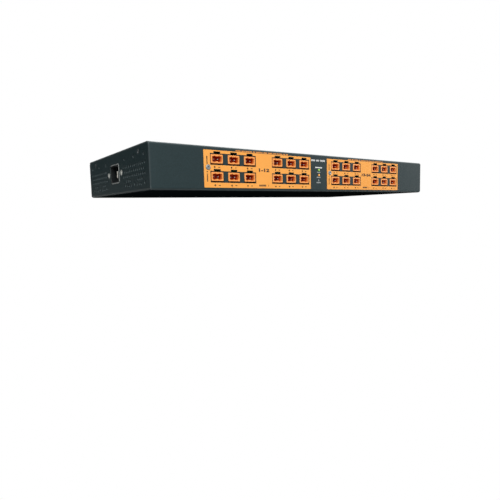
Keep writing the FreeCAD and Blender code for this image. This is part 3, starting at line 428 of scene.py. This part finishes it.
RANGE_HEIGHT = 0.0222
RANGE_LETTER = 0.0036
RANGE_WIDENING = 1.9
RANGE_WEIGHT = 0.055
BANK_HEIGHT = 0.0058
BANK_LETTER = 0.0020
BANK_WIDENING = 1.2
BANK_WEIGHT = 0.015
BANK_NUMBER_OFFSET = 0.0056
BANK_ROW_SPAN = (-0.0070, 0.0035)
BANK_ROW_GROUPS = (9,)
EDGE_PRINT = (0.0030, 0.0044)
EDGE_PRINT_RUNS = ((0.0259, 0.0345), (0.0088, 0.0197))
EDGE_PRINT_GROUPS = (7,)


def signs(u, v):
    """Plus and minus under one socket: two crossed blocks and one block."""
    def bar(middle, half_width, half_height):
        return block(middle - half_width, middle + half_width, v - half_height, v + half_height)
    return [
        bar(u + PLUS_OFFSET, SIGN_HALF_LENGTH, SIGN_HALF_STROKE),
        bar(u + PLUS_OFFSET, SIGN_HALF_STROKE, SIGN_HALF_LENGTH),
        bar(u + MINUS_OFFSET, SIGN_HALF_LENGTH, SIGN_HALF_STROKE)]


def edge_print(left):
    """Two block rows that read upwards beside the label's left edge: (u, v) turns to (-v, u)."""
    across = (-left - EDGE_PRINT[1], -left - EDGE_PRINT[0])
    rows = [block_row(run, across, EDGE_PRINT_GROUPS) for run in EDGE_PRINT_RUNS]
    return [(np.stack([-points[:, 1], points[:, 0]], axis=-1), faces) for points, faces in sum(rows, [])]


dark_ink = screen_ink("dark_screen_ink", "#4A3A30", "#362A24")
for left, span, number in zip(LABEL_LEFTS, ("1-12", "13-24"), "12"):
    middle = left + FIELD_MIDDLE
    shapes = sum([signs(left + step, row) for step in SOCKET_STEPS for row in SIGN_ROWS], [])
    shapes += edge_print(left)
    shapes += [
        word(span, RANGE_LETTER, (middle, RANGE_HEIGHT), RANGE_WIDENING, RANGE_WEIGHT),
        word(number, BANK_LETTER, (middle + BANK_NUMBER_OFFSET, BANK_HEIGHT), BANK_WIDENING, BANK_WEIGHT)]
    shapes += block_row(
        (middle + BANK_ROW_SPAN[0], middle + BANK_ROW_SPAN[1]),
        (BANK_HEIGHT - BANK_LETTER / 2, BANK_HEIGHT + BANK_LETTER / 2), BANK_ROW_GROUPS)
    print_on("label_print_" + number, shapes, LABEL_FACE - INK_LIFT, dark_ink)


# Sockets. Twenty-four two-way power sockets of glass-filled polyester, moulded in orange, soldered to
# the board behind and let through the wall. Their faces have a soft waxy sheen; the deep keyed chamber
# is painted a darker red with depth, a painted shade for the light that does not reach inside.
SOCKET_FACE = -0.0933
CHAMBER_SHADE_START = SOCKET_FACE + 0.0008
CHAMBER_SHADE_FULL = SOCKET_FACE + 0.0050
FLOW_STREAK = 0.004
# Glass fibres mottle the skin at about 0.1 mm; that is drawn at 0.5 mm so that it shows.
GLASS_FIBRE = 0.0005
FIBRE_HEIGHT = 0.00004
socket_polyester, tree, place = start_material("orange_moulded_polyester")
flow = add(tree, "TexNoise", {
    "Vector": place, "Scale": 1 / FLOW_STREAK, "Detail": 4.0, "Distortion": 0.6})
fibre = add(tree, "TexNoise", {"Vector": place, "Scale": 1 / GLASS_FIBRE, "Detail": 1.0})
streak = add(tree, "MapRange", {
    "Value": flow.outputs[0], "From Min": 0.3, "From Max": 0.7, "To Min": 0.0, "To Max": 1.0})
moulded = add(tree, "Mix", {
    "Factor": streak.outputs[0], "A": linear("#F99A4A"), "B": linear("#FEA656")}, data_type="RGBA")
# Painted shade: the colour turns dark red with depth behind the socket face.
chamber_shade_depth = add(tree, "MapRange", {
    "Value": add(tree, "SeparateXYZ", {"Vector": place}).outputs["Y"], "From Min": CHAMBER_SHADE_START,
    "From Max": CHAMBER_SHADE_FULL, "To Min": 0.0, "To Max": 1.0}, interpolation_type="SMOOTHSTEP")
painted_chamber_shade = add(tree, "Mix", {
    "Factor": chamber_shade_depth.outputs[0], "A": moulded.outputs["Result"], "B": linear("#C8460E")}, data_type="RGBA")
sheen = add(tree, "MapRange", {"Value": fibre.outputs[0], "To Min": 0.3, "To Max": 0.46})
mottle = add(tree, "Bump", {"Height": fibre.outputs[0], "Strength": 0.08, "Distance": FIBRE_HEIGHT})
surface = add(tree, "BsdfPrincipled", {
    "Base Color": painted_chamber_shade.outputs["Result"], "Roughness": sheen.outputs[0], "Normal": mottle.outputs[0],
    "IOR": 1.57, "Specular IOR Level": 0.4})
add(tree, "OutputMaterial", {"Surface": surface.outputs[0]})
coat(socket_polyester, *[name for name in nodes if name.startswith(("outlet_1_", "outlet_2_"))])


# Contacts. Brass pins, blades and tabs, stamped from strip and plated with tin, which dulls to a soft
# grey white with faint draw lines along the stamping.
# Draw lines lie about 0.1 mm apart; they are drawn 0.4 mm apart so that they show.
DRAW_LINES = (0.0012, 0.004, 0.0004)
tin_plate, tree, place = start_material("tin_plated_brass")
drawn = add(tree, "Mapping", {"Vector": place, "Scale": [1 / size for size in DRAW_LINES]})
lines = add(tree, "TexNoise", {"Vector": drawn.outputs[0], "Scale": 1.0, "Detail": 3.0})
plated = add(tree, "Mix", {
    "Factor": lines.outputs[0], "A": linear("#B9B5AB"), "B": linear("#E4E1DA")}, data_type="RGBA")
polish = add(tree, "MapRange", {"Value": lines.outputs[0], "To Min": 0.2, "To Max": 0.42})
surface = add(tree, "BsdfPrincipled", {
    "Base Color": plated.outputs["Result"], "Roughness": polish.outputs[0], "Metallic": 1.0})
add(tree, "OutputMaterial", {"Surface": surface.outputs[0]})
coat(tin_plate, "outlet_pins_1", "outlet_pins_2", "inlet_blades", "switch_tabs")


# Boards. Two outlet boards and the small status board are epoxy glass laminate under green solder mask,
# sawn to size, drilled for the pins and carried by posts that are pressed into the outlet wall. The mask
# is a deep green gloss, with the weave of the glass just showing.
# The wave texture draws about three bands in a unit, so this is a glass weave of about 0.9 mm.
WEAVE = 0.003
laminate, tree, place = start_material("green_masked_epoxy_glass")
weave = add(tree, "TexWave", {"Vector": place, "Scale": 1 / WEAVE, "Distortion": 1.5, "Detail": 2.0})
mask = add(tree, "Mix", {
    "Factor": weave.outputs["Fac"], "A": linear("#14472C"), "B": linear("#1C5A38")}, data_type="RGBA")
gloss = add(tree, "MapRange", {"Value": weave.outputs["Fac"], "To Min": 0.28, "To Max": 0.4})
surface = add(tree, "BsdfPrincipled", {
    "Base Color": mask.outputs["Result"], "Roughness": gloss.outputs[0], "IOR": 1.55})
add(tree, "OutputMaterial", {"Surface": surface.outputs[0]})
coat(laminate, "outlet_board_1", "outlet_board_2", "status_board")


# Fuses. One resettable fuse for each socket, a polymer chip dipped in mustard epoxy and soldered to the
# back of the outlet board; the dip cures with a slightly lumpy gloss.
DIP_LUMP = 0.002
DIP_HEIGHT = 0.0002
dipped_epoxy, tree, place = start_material("mustard_dipped_epoxy")
lump = add(tree, "TexNoise", {"Vector": place, "Scale": 1 / DIP_LUMP, "Detail": 2.0})
dip = add(tree, "Mix", {
    "Factor": lump.outputs[0], "A": linear("#B8862B"), "B": linear("#D29D3C")}, data_type="RGBA")
lumpy = add(tree, "Bump", {"Height": lump.outputs[0], "Strength": 0.3, "Distance": DIP_HEIGHT})
surface = add(tree, "BsdfPrincipled", {
    "Base Color": dip.outputs["Result"], "Normal": lumpy.outputs[0], "Roughness": 0.3})
add(tree, "OutputMaterial", {"Surface": surface.outputs[0]})
coat(dipped_epoxy, "outlet_fuses_1", "outlet_fuses_2")


# Bus bars, posts and supply cases. The bars are bare copper strip, sheared and folded, and tarnish in
# patches from salmon to brown; the posts are turned and the supply modules' cases folded from steel, zinc
# plated, which gives a grey sheen with a faint spangle.
TARNISH_PATCH = 0.007
SPANGLE = 0.0025
copper_strip, tree, place = start_material("sheared_copper_strip")
tarnish = add(tree, "TexNoise", {"Vector": place, "Scale": 1 / TARNISH_PATCH, "Detail": 4.0})
copper = add(tree, "Mix", {
    "Factor": tarnish.outputs[0], "A": linear("#A8643F"), "B": linear("#D58B62")}, data_type="RGBA")
worn = add(tree, "MapRange", {"Value": tarnish.outputs[0], "To Min": 0.25, "To Max": 0.5})
surface = add(tree, "BsdfPrincipled", {
    "Base Color": copper.outputs["Result"], "Roughness": worn.outputs[0], "Metallic": 1.0})
add(tree, "OutputMaterial", {"Surface": surface.outputs[0]})
coat(copper_strip, "busbars_1", "busbars_2")
zinc_steel, tree, place = start_material("zinc_plated_steel")
spangle = add(tree, "TexVoronoi", {"Vector": place, "Scale": 1 / SPANGLE})
zinc = add(tree, "Mix", {
    "Factor": spangle.outputs["Distance"], "A": linear("#6C7173"), "B": linear("#8F9495")},
    data_type="RGBA")
bright = add(tree, "MapRange", {"Value": spangle.outputs["Distance"], "To Min": 0.34, "To Max": 0.5})
surface = add(tree, "BsdfPrincipled", {
    "Base Color": zinc.outputs["Result"], "Roughness": bright.outputs[0], "Metallic": 1.0})
add(tree, "OutputMaterial", {"Surface": surface.outputs[0]})
coat(zinc_steel, "board_standoffs", "supply_case_1", "supply_case_2")


# Bank screws. One zinc-plated pan head screw at the left of each label, cold headed with a cross recess;
# it is driven through label and wall into the outlet board's first post.
PAN_HEAD_RADIUS = 0.00275
PAN_HEAD_HEIGHT = 0.00085
DOME_POWER = 6
BANK_SCREW_XS = (-0.1549, 0.0179)
BANK_SCREW_HEIGHT = 0.0227
BANK_SCREW_TURNS = (0.5, 1.1)


def pan_profile(share):
    """Superellipse dome, height times the root of 1 - (r/R)^6: nearly flat, and upright at its rim."""
    return PAN_HEAD_HEIGHT * np.sqrt(np.clip(1 - share ** DOME_POWER, 0, 1))


bank_screws = [
    stand_on(
        screw_sheet(PAN_HEAD_RADIUS, pan_profile, turn, FLAT_SEAT),
        (x, LABEL_FACE, BANK_SCREW_HEIGHT), (0, -1, 0))
    for x, turn in zip(BANK_SCREW_XS, BANK_SCREW_TURNS)
]
piece("bank_screws", bank_screws, zinc_steel, "case")


# Lamps and reset button between the banks. The lamps are 3 mm moulded epoxy, tinted and lit from inside,
# soldered to the status board; the button is dry, chalky grey nylon and sits just inside its hole in the
# wall, on a small switch of that board.
LAMP_TIP = -0.0942
LAMP_PROUD = 0.0012
RESIN_SWIRL = 0.0008
# The chalky bloom's grain is about 0.3 mm; it is drawn at 0.7 mm so that it shows.
NYLON_CHALK = 0.0007


def tinted_resin(name, edge, core, glow):
    """Tinted epoxy, pale at the tip, where the lit die sits behind it, and deeper along its sides."""
    material, tree, place = start_material(name)
    swirl = add(tree, "TexNoise", {"Vector": place, "Scale": 1 / RESIN_SWIRL, "Detail": 1.0})
    towards_tip = add(tree, "MapRange", {
        "Value": add(tree, "SeparateXYZ", {"Vector": place}).outputs["Y"], "From Min": LAMP_TIP,
        "From Max": LAMP_TIP + LAMP_PROUD, "To Min": 0.0, "To Max": 1.0}, interpolation_type="SMOOTHSTEP")
    tint = add(tree, "Mix", {
        "Factor": towards_tip.outputs[0], "A": linear(core), "B": linear(edge)}, data_type="RGBA")
    wet = add(tree, "MapRange", {"Value": swirl.outputs[0], "To Min": 0.08, "To Max": 0.16})
    surface = add(tree, "BsdfPrincipled", {
        "Base Color": tint.outputs["Result"], "Roughness": wet.outputs[0], "IOR": 1.54,
        "Emission Color": tint.outputs["Result"], "Emission Strength": glow})
    add(tree, "OutputMaterial", {"Surface": surface.outputs[0]})
    return material


coat(tinted_resin("green_tinted_epoxy", "#4E8A24", "#A8DC62", 0.25), "power_lamp")
coat(tinted_resin("amber_tinted_epoxy", "#B06A1C", "#FFBC62", 0.22), "fault_lamp")
grey_nylon, tree, place = start_material("grey_moulded_nylon")
chalk = add(tree, "TexNoise", {"Vector": place, "Scale": 1 / NYLON_CHALK, "Detail": 3.0})
nylon = add(tree, "Mix", {
    "Factor": chalk.outputs[0], "A": linear("#6C7172"), "B": linear("#868B8B")}, data_type="RGBA")
matt = add(tree, "MapRange", {"Value": chalk.outputs[0], "To Min": 0.42, "To Max": 0.58})
surface = add(tree, "BsdfPrincipled", {
    "Base Color": nylon.outputs["Result"], "Roughness": matt.outputs[0], "IOR": 1.53})
add(tree, "OutputMaterial", {"Surface": surface.outputs[0]})
coat(grey_nylon, "reset_button")


# Black mouldings. The inlet, fan, switch body and terminal blocks are black polyester, moulded in spark
# eroded tools, so that flat faces are finely grained; the inlet rim's rounded edges carry a painted
# highlight.
# Spark erosion leaves pits of about 0.1 mm; they are drawn at 0.5 mm so that they show.
SPARK = 0.0005
SPARK_HEIGHT = 0.00006
INLET_RIM_FACE = -0.2163
INLET_RIM_ROUND = 0.0008
INLET_RIM_BAND = 0.0012
INLET_RIM_HALF_WIDTH = 0.0138
INLET_RIM_HALF_HEIGHT = 0.0104
MIDDLE_HEIGHT = CASE_HEIGHT / 2
black_polyester, tree, place = start_material("black_spark_grained_polyester")
spark = add(tree, "TexNoise", {"Vector": place, "Scale": 1 / SPARK, "Detail": 3.0, "Roughness": 0.65})
moulded_black = add(tree, "Mix", {
    "Factor": spark.outputs[0], "A": linear("#101314"), "B": linear("#1B1F21")}, data_type="RGBA")
# Painted highlight: the inlet rim's rounded outer edges are painted a paler grey, for light caught on
# them.
axes = add(tree, "SeparateXYZ", {"Vector": place})
from_rim = add(tree, "Math", {0: axes.outputs["X"], 1: -INLET_RIM_FACE}, operation="ADD")
on_round = add(tree, "Math", {0: from_rim.outputs[0], 1: INLET_RIM_ROUND}, operation="LESS_THAN")
sideways = add(tree, "Math", {0: axes.outputs["Y"]}, operation="ABSOLUTE")
past_side = add(tree, "Math", {
    0: sideways.outputs[0], 1: INLET_RIM_HALF_WIDTH - INLET_RIM_BAND}, operation="GREATER_THAN")
off_middle = add(tree, "Math", {0: axes.outputs["Z"], 1: MIDDLE_HEIGHT}, operation="SUBTRACT")
upright = add(tree, "Math", {0: off_middle.outputs[0]}, operation="ABSOLUTE")
past_top = add(tree, "Math", {
    0: upright.outputs[0], 1: INLET_RIM_HALF_HEIGHT - INLET_RIM_BAND}, operation="GREATER_THAN")
outer = add(tree, "Math", {0: past_side.outputs[0], 1: past_top.outputs[0]}, operation="MAXIMUM")
rim_highlight_mask = add(tree, "Math", {0: on_round.outputs[0], 1: outer.outputs[0]}, operation="MULTIPLY")
painted_rim_highlight = add(tree, "Mix", {
    "Factor": rim_highlight_mask.outputs[0], "A": moulded_black.outputs["Result"], "B": linear("#9CA09E")},
    data_type="RGBA")
grained = add(tree, "MapRange", {"Value": spark.outputs[0], "To Min": 0.3, "To Max": 0.5})
eroded = add(tree, "Bump", {"Height": spark.outputs[0], "Strength": 0.18, "Distance": SPARK_HEIGHT})
surface = add(tree, "BsdfPrincipled", {
    "Base Color": painted_rim_highlight.outputs["Result"], "Roughness": grained.outputs[0],
    "Normal": eroded.outputs[0], "IOR": 1.57, "Specular IOR Level": 0.32})
add(tree, "OutputMaterial", {"Surface": surface.outputs[0]})
coat(
    black_polyester, "inlet_housing", "fan_frame", "fan_rotor", "switch_housing", "reset_switch",
    "supply_terminals_1", "supply_terminals_2")


# Inlet and fan screws. The inlet is held by two low screws beside its rim, the fan by four countersunk
# ones in the grille's corners; all are cold headed steel, nickel plated.
INLET_SCREW_DEPTH = 0.020
INLET_HEAD_RADIUS = 0.0028
INLET_HEAD_HEIGHT = 0.00028
INLET_SCREW_TURNS = (-0.7, 1.3)
FAN_SCREW_STEP = 0.016
FAN_SCREW_TURNS = (-1.4, -0.2, 0.6, 1.8)
TUMBLED_SPOT = 0.0008


def inlet_profile(share):
    """The same dome as the pan heads, but lower."""
    return pan_profile(share) * INLET_HEAD_HEIGHT / PAN_HEAD_HEIGHT


inlet_screws = [
    stand_on(
        screw_sheet(INLET_HEAD_RADIUS, inlet_profile, turn, FLAT_SEAT),
        (-CASE_HALF_WIDTH, side * INLET_SCREW_DEPTH, MIDDLE_HEIGHT), (-1, 0, 0))
    for side, turn in zip((-1, 1), INLET_SCREW_TURNS)
]
# Nickel on rough-rolled steel: paler than zinc, and dull enough to spread light over the whole head.
nickel_steel, tree, place = start_material("dull_nickel_plated_steel")
tumbled = add(tree, "TexNoise", {"Vector": place, "Scale": 1 / TUMBLED_SPOT, "Detail": 3.0})
nickel = add(tree, "Mix", {
    "Factor": tumbled.outputs[0], "A": linear("#B4B6B2"), "B": linear("#DCDDD8")}, data_type="RGBA")
dulled = add(tree, "MapRange", {"Value": tumbled.outputs[0], "To Min": 0.45, "To Max": 0.65})
surface = add(tree, "BsdfPrincipled", {
    "Base Color": nickel.outputs["Result"], "Roughness": dulled.outputs[0], "Metallic": 1.0})
add(tree, "OutputMaterial", {"Surface": surface.outputs[0]})
piece("inlet_screws", inlet_screws, nickel_steel, "case")
fan_corners = [(side, rise) for side in (-1, 1) for rise in (-1, 1)]
fan_screws = [
    stand_on(
        screw_sheet(SUNK_HEAD_RADIUS, sunk_profile, turn, CONE_SEAT),
        (CASE_HALF_WIDTH, side * FAN_SCREW_STEP, MIDDLE_HEIGHT + rise * FAN_SCREW_STEP), (1, 0, 0))
    for (side, rise), turn in zip(fan_corners, FAN_SCREW_TURNS)
]
piece("fan_screws", fan_screws, nickel_steel, "case")


# Supply screws. Eight countersunk 3 mm steel screws, headed and finished like those of the cover, pass
# the floor of the tray into the two supply modules and lie flush with it.
SUPPLY_SCREW_XS = (-0.145, -0.026, 0.026, 0.145)
SUPPLY_SCREW_YS = (-0.020, 0.037)
SUPPLY_SCREW_TURNS = (-1.925, -0.158, -0.854, 0.913, -0.386, 1.381, 0.685, 2.452)
supply_places = [(x, y, 0) for x in SUPPLY_SCREW_XS for y in SUPPLY_SCREW_YS]
supply_screws = [
    stand_on(screw_sheet(SUNK_HEAD_RADIUS, sunk_profile, turn, CONE_SEAT), spot, (0, 0, -1))
    for spot, turn in zip(supply_places, SUPPLY_SCREW_TURNS)
]
piece("supply_screws", supply_screws, black_oxide, "case")


# Rocker. Moulded in a clear red polycarbonate in a polished tool, so it is glossy and a little deep; it
# pivots in the switch body on the face behind.
RED_CLOUD = 0.005
red_polycarbonate, tree, place = start_material("red_polished_polycarbonate")
cloud = add(tree, "TexNoise", {"Vector": place, "Scale": 1 / RED_CLOUD, "Detail": 2.0})
red = add(tree, "Mix", {
    "Factor": cloud.outputs[0], "A": linear("#8E1216"), "B": linear("#B01C20")}, data_type="RGBA")
slick = add(tree, "MapRange", {"Value": cloud.outputs[0], "To Min": 0.22, "To Max": 0.32})
surface = add(tree, "BsdfPrincipled", {
    "Base Color": red.outputs["Result"], "Roughness": slick.outputs[0], "IOR": 1.58})
add(tree, "OutputMaterial", {"Surface": surface.outputs[0]})
coat(red_polycarbonate, "switch_rocker")


# Marker strip. White matt film to write on, die cut and glued beside the switch; its tooth is a fine
# mineral filler, which spreads light evenly, and handling has greyed it in places.
# The filler's grain is about 0.05 mm; it is drawn at 0.8 mm so that it shows.
FILLER = 0.0008
SMUDGE = 0.03
marker_film, tree, place = start_material("white_write_on_film")
filler = add(tree, "TexNoise", {"Vector": place, "Scale": 1 / FILLER, "Detail": 3.0})
smudge = add(tree, "TexNoise", {"Vector": place, "Scale": 1 / SMUDGE, "Detail": 4.0})
smudged = add(tree, "MapRange", {
    "Value": smudge.outputs[0], "From Min": 0.4, "From Max": 0.8, "To Min": 0.0, "To Max": 1.0})
film = add(tree, "Mix", {
    "Factor": smudged.outputs[0], "A": linear("#DEDEDA"), "B": linear("#CDCDC8")}, data_type="RGBA")
dry = add(tree, "MapRange", {"Value": filler.outputs[0], "To Min": 0.6, "To Max": 0.8})
surface = add(tree, "BsdfPrincipled", {
    "Base Color": film.outputs["Result"], "Roughness": dry.outputs[0], "Specular IOR Level": 0.3})
add(tree, "OutputMaterial", {"Surface": surface.outputs[0]})
coat(marker_film, "marker_strip")


# Floor, light and camera. A pale paper floor lies under the case, seen from above only. A large soft box
# stands high in front and to the left, weaker ones at the right, above, behind and below. The camera has
# the lens and the place that the photograph was taken with.
FLOOR_SOLID = 0.45
FLOOR_REACH = 1.5
FLOOR_DROP = 0.0003
# Paper fibres are about 2 mm long; they are drawn at 4 mm so that they show.
PAPER_FIBRE = 0.004
floor_paper, tree, place = start_material("pale_studio_paper")
fibres = add(tree, "TexNoise", {"Vector": place, "Scale": 1 / PAPER_FIBRE, "Detail": 4.0})
paper = add(tree, "Mix", {
    "Factor": fibres.outputs[0], "A": linear("#DADAD8"), "B": linear("#E0E0DE")}, data_type="RGBA")
# Seen directly or mirrored it is pale; what it throws back on to the object is that of a grey paper.
rays = add(tree, "LightPath", {})
seen = add(tree, "Math", {
    0: rays.outputs["Is Camera Ray"], 1: rays.outputs["Is Glossy Ray"]}, operation="MAXIMUM")
shown = add(tree, "Math", {
    0: seen.outputs[0], 1: rays.outputs["Is Transmission Ray"]}, operation="MAXIMUM")
paper_seen = add(tree, "Mix", {
    "Factor": shown.outputs[0], "A": linear("#6E7070"), "B": paper.outputs["Result"]},
    data_type="RGBA")
top_side = add(tree, "BsdfPrincipled", {
    "Base Color": paper_seen.outputs["Result"], "Roughness": 0.9, "Specular IOR Level": 0.1})
gone = add(tree, "BsdfTransparent", {})
from_middle = add(tree, "VectorMath", {0: place}, operation="LENGTH")
faded = add(tree, "MapRange", {
    "Value": from_middle.outputs["Value"], "From Min": FLOOR_SOLID, "From Max": FLOOR_REACH,
    "To Min": 0.0, "To Max": 1.0}, interpolation_type="SMOOTHSTEP")
facing_down = add(tree, "NewGeometry", {}).outputs["Backfacing"]
# It also lets the weak box below shine through, on to the underside and the lower folds.
passed = add(tree, "Math", {0: facing_down, 1: rays.outputs["Is Shadow Ray"]}, operation="MAXIMUM")
unseen = add(tree, "Math", {0: faded.outputs[0], 1: passed.outputs[0]}, operation="MAXIMUM")
surface = add(tree, "MixShader", {
    0: unseen.outputs[0], 1: top_side.outputs[0], 2: gone.outputs[0]})
add(tree, "OutputMaterial", {"Surface": surface.outputs[0]})
floor_corners = [
    (x * FLOOR_REACH, y * FLOOR_REACH, -FLOOR_DROP) for x, y in ((-1, -1), (1, -1), (1, 1), (-1, 1))]
floor_mesh = bpy.data.meshes.new("floor")
floor_mesh.from_pydata(floor_corners, [], [(0, 1, 2, 3)])
floor_mesh.materials.append(floor_paper)
floor = bpy.data.objects.new("floor", floor_mesh)
bpy.context.scene.collection.objects.link(floor)

# A dark card stands behind and to the left, out of the picture, so that the left end and the metal there
# mirror something darker than the white backdrop.
CARD_ENDS = ((-1.9, 0.0), (0.3, 1.8))
CARD_FOOT = -0.8
CARD_TOP = 1.5
FELT_NAP = 0.01
card_felt, tree, place = start_material("dark_studio_felt")
nap = add(tree, "TexNoise", {"Vector": place, "Scale": 1 / FELT_NAP, "Detail": 3.0})
felt = add(tree, "Mix", {
    "Factor": nap.outputs[0], "A": linear("#0E1011"), "B": linear("#181A1B")}, data_type="RGBA")
surface = add(tree, "BsdfPrincipled", {
    "Base Color": felt.outputs["Result"], "Roughness": 0.95, "Specular IOR Level": 0.0})
add(tree, "OutputMaterial", {"Surface": surface.outputs[0]})
near_end, far_end = CARD_ENDS
card_corners = [
    (*near_end, CARD_FOOT), (*far_end, CARD_FOOT), (*far_end, CARD_TOP), (*near_end, CARD_TOP)]
card_mesh = bpy.data.meshes.new("dark_card")
card_mesh.from_pydata(card_corners, [], [(0, 1, 2, 3)])
card_mesh.materials.append(card_felt)
card = bpy.data.objects.new("dark_card", card_mesh)
bpy.context.scene.collection.objects.link(card)
card.visible_camera = False

# What the camera and mirrors see is a white backdrop; it lights the object only weakly.
AMBIENT_STRENGTH = 0.08
BACKDROP_STRENGTH = 1.0
world = bpy.data.worlds.new("studio")
bpy.context.scene.world = world
world.use_nodes = True
tree = world.node_tree
tree.nodes.clear()
rays = add(tree, "LightPath", {})
seen = add(tree, "Math", {
    0: rays.outputs["Is Camera Ray"], 1: rays.outputs["Is Glossy Ray"]}, operation="MAXIMUM")
shown = add(tree, "Math", {
    0: seen.outputs[0], 1: rays.outputs["Is Transmission Ray"]}, operation="MAXIMUM")
ambient = add(tree, "Background", {"Color": linear("#DDF0F3"), "Strength": AMBIENT_STRENGTH})
backdrop = add(tree, "Background", {"Color": linear("#FFFFFF"), "Strength": BACKDROP_STRENGTH})
sky = add(tree, "MixShader", {0: shown.outputs[0], 1: ambient.outputs[0], 2: backdrop.outputs[0]})
add(tree, "OutputWorld", {"Surface": sky.outputs[0]})


def soft_box(name, spot, target, size, watts):
    """Rectangular area light at a spot, turned so that its -Z axis points at the target."""
    lamp = bpy.data.lights.new(name, "AREA")
    lamp.shape = "RECTANGLE"
    lamp.size, lamp.size_y = size
    lamp.energy = watts
    made = bpy.data.objects.new(name, lamp)
    bpy.context.scene.collection.objects.link(made)
    aim = np.array(target) - np.array(spot)
    made.location = spot
    made.rotation_euler = (
        math.atan2(math.hypot(aim[0], aim[1]), -aim[2]), 0, math.atan2(-aim[0], aim[1]))


# Each soft box has its spot and its target, its width and height in metres, and its power in watts.
SOFT_BOXES = {
    "key_box": ((-0.8, -2.1, 1.5), (0, -0.09, 0.02), (2.0, 1.3), 76),
    "right_box": ((2.4, -1.5, 0.6), (0.1, -0.09, 0.02), (1.2, 1.2), 6),
    "top_box": ((0.2, 0.1, 1.8), (0, 0, 0), (1.6, 1.2), 16),
    "back_box": ((0.7, 1.9, 1.2), (0, 0.09, 0.02), (2.0, 1.3), 24),
    "low_box": ((-0.9, -0.6, -0.8), (0, 0, 0), (1.4, 1.0), 2),
}
for name, (spot, target, size, watts) in SOFT_BOXES.items():
    soft_box(name, spot, target, size, watts)

LENS = 29.61
SENSOR = 36.0
CLIP_START = 0.01
CAMERA_SPOT = (-0.36555, -0.44716, -0.02048)
CAMERA_YAW = math.radians(36.193)
CAMERA_PITCH = math.radians(5.516)
CAMERA_ROLL = math.radians(1.461)
lens = bpy.data.cameras.new("camera")
lens.sensor_width = SENSOR
lens.lens = LENS
lens.clip_start = CLIP_START
camera = bpy.data.objects.new("camera", lens)
bpy.context.scene.collection.objects.link(camera)
ahead = Vector((
    math.sin(CAMERA_YAW) * math.cos(CAMERA_PITCH), math.cos(CAMERA_YAW) * math.cos(CAMERA_PITCH),
    -math.sin(CAMERA_PITCH)))
level = Vector((math.cos(CAMERA_YAW), -math.sin(CAMERA_YAW), 0))
below = ahead.cross(level)
across = math.cos(CAMERA_ROLL) * level + math.sin(CAMERA_ROLL) * below
down = math.cos(CAMERA_ROLL) * below - math.sin(CAMERA_ROLL) * level
turned = Matrix((across, -down, -ahead)).transposed().to_4x4()
camera.matrix_world = Matrix.Translation(CAMERA_SPOT) @ turned
bpy.context.scene.camera = camera
bpy.context.scene.view_settings.view_transform = "Standard"
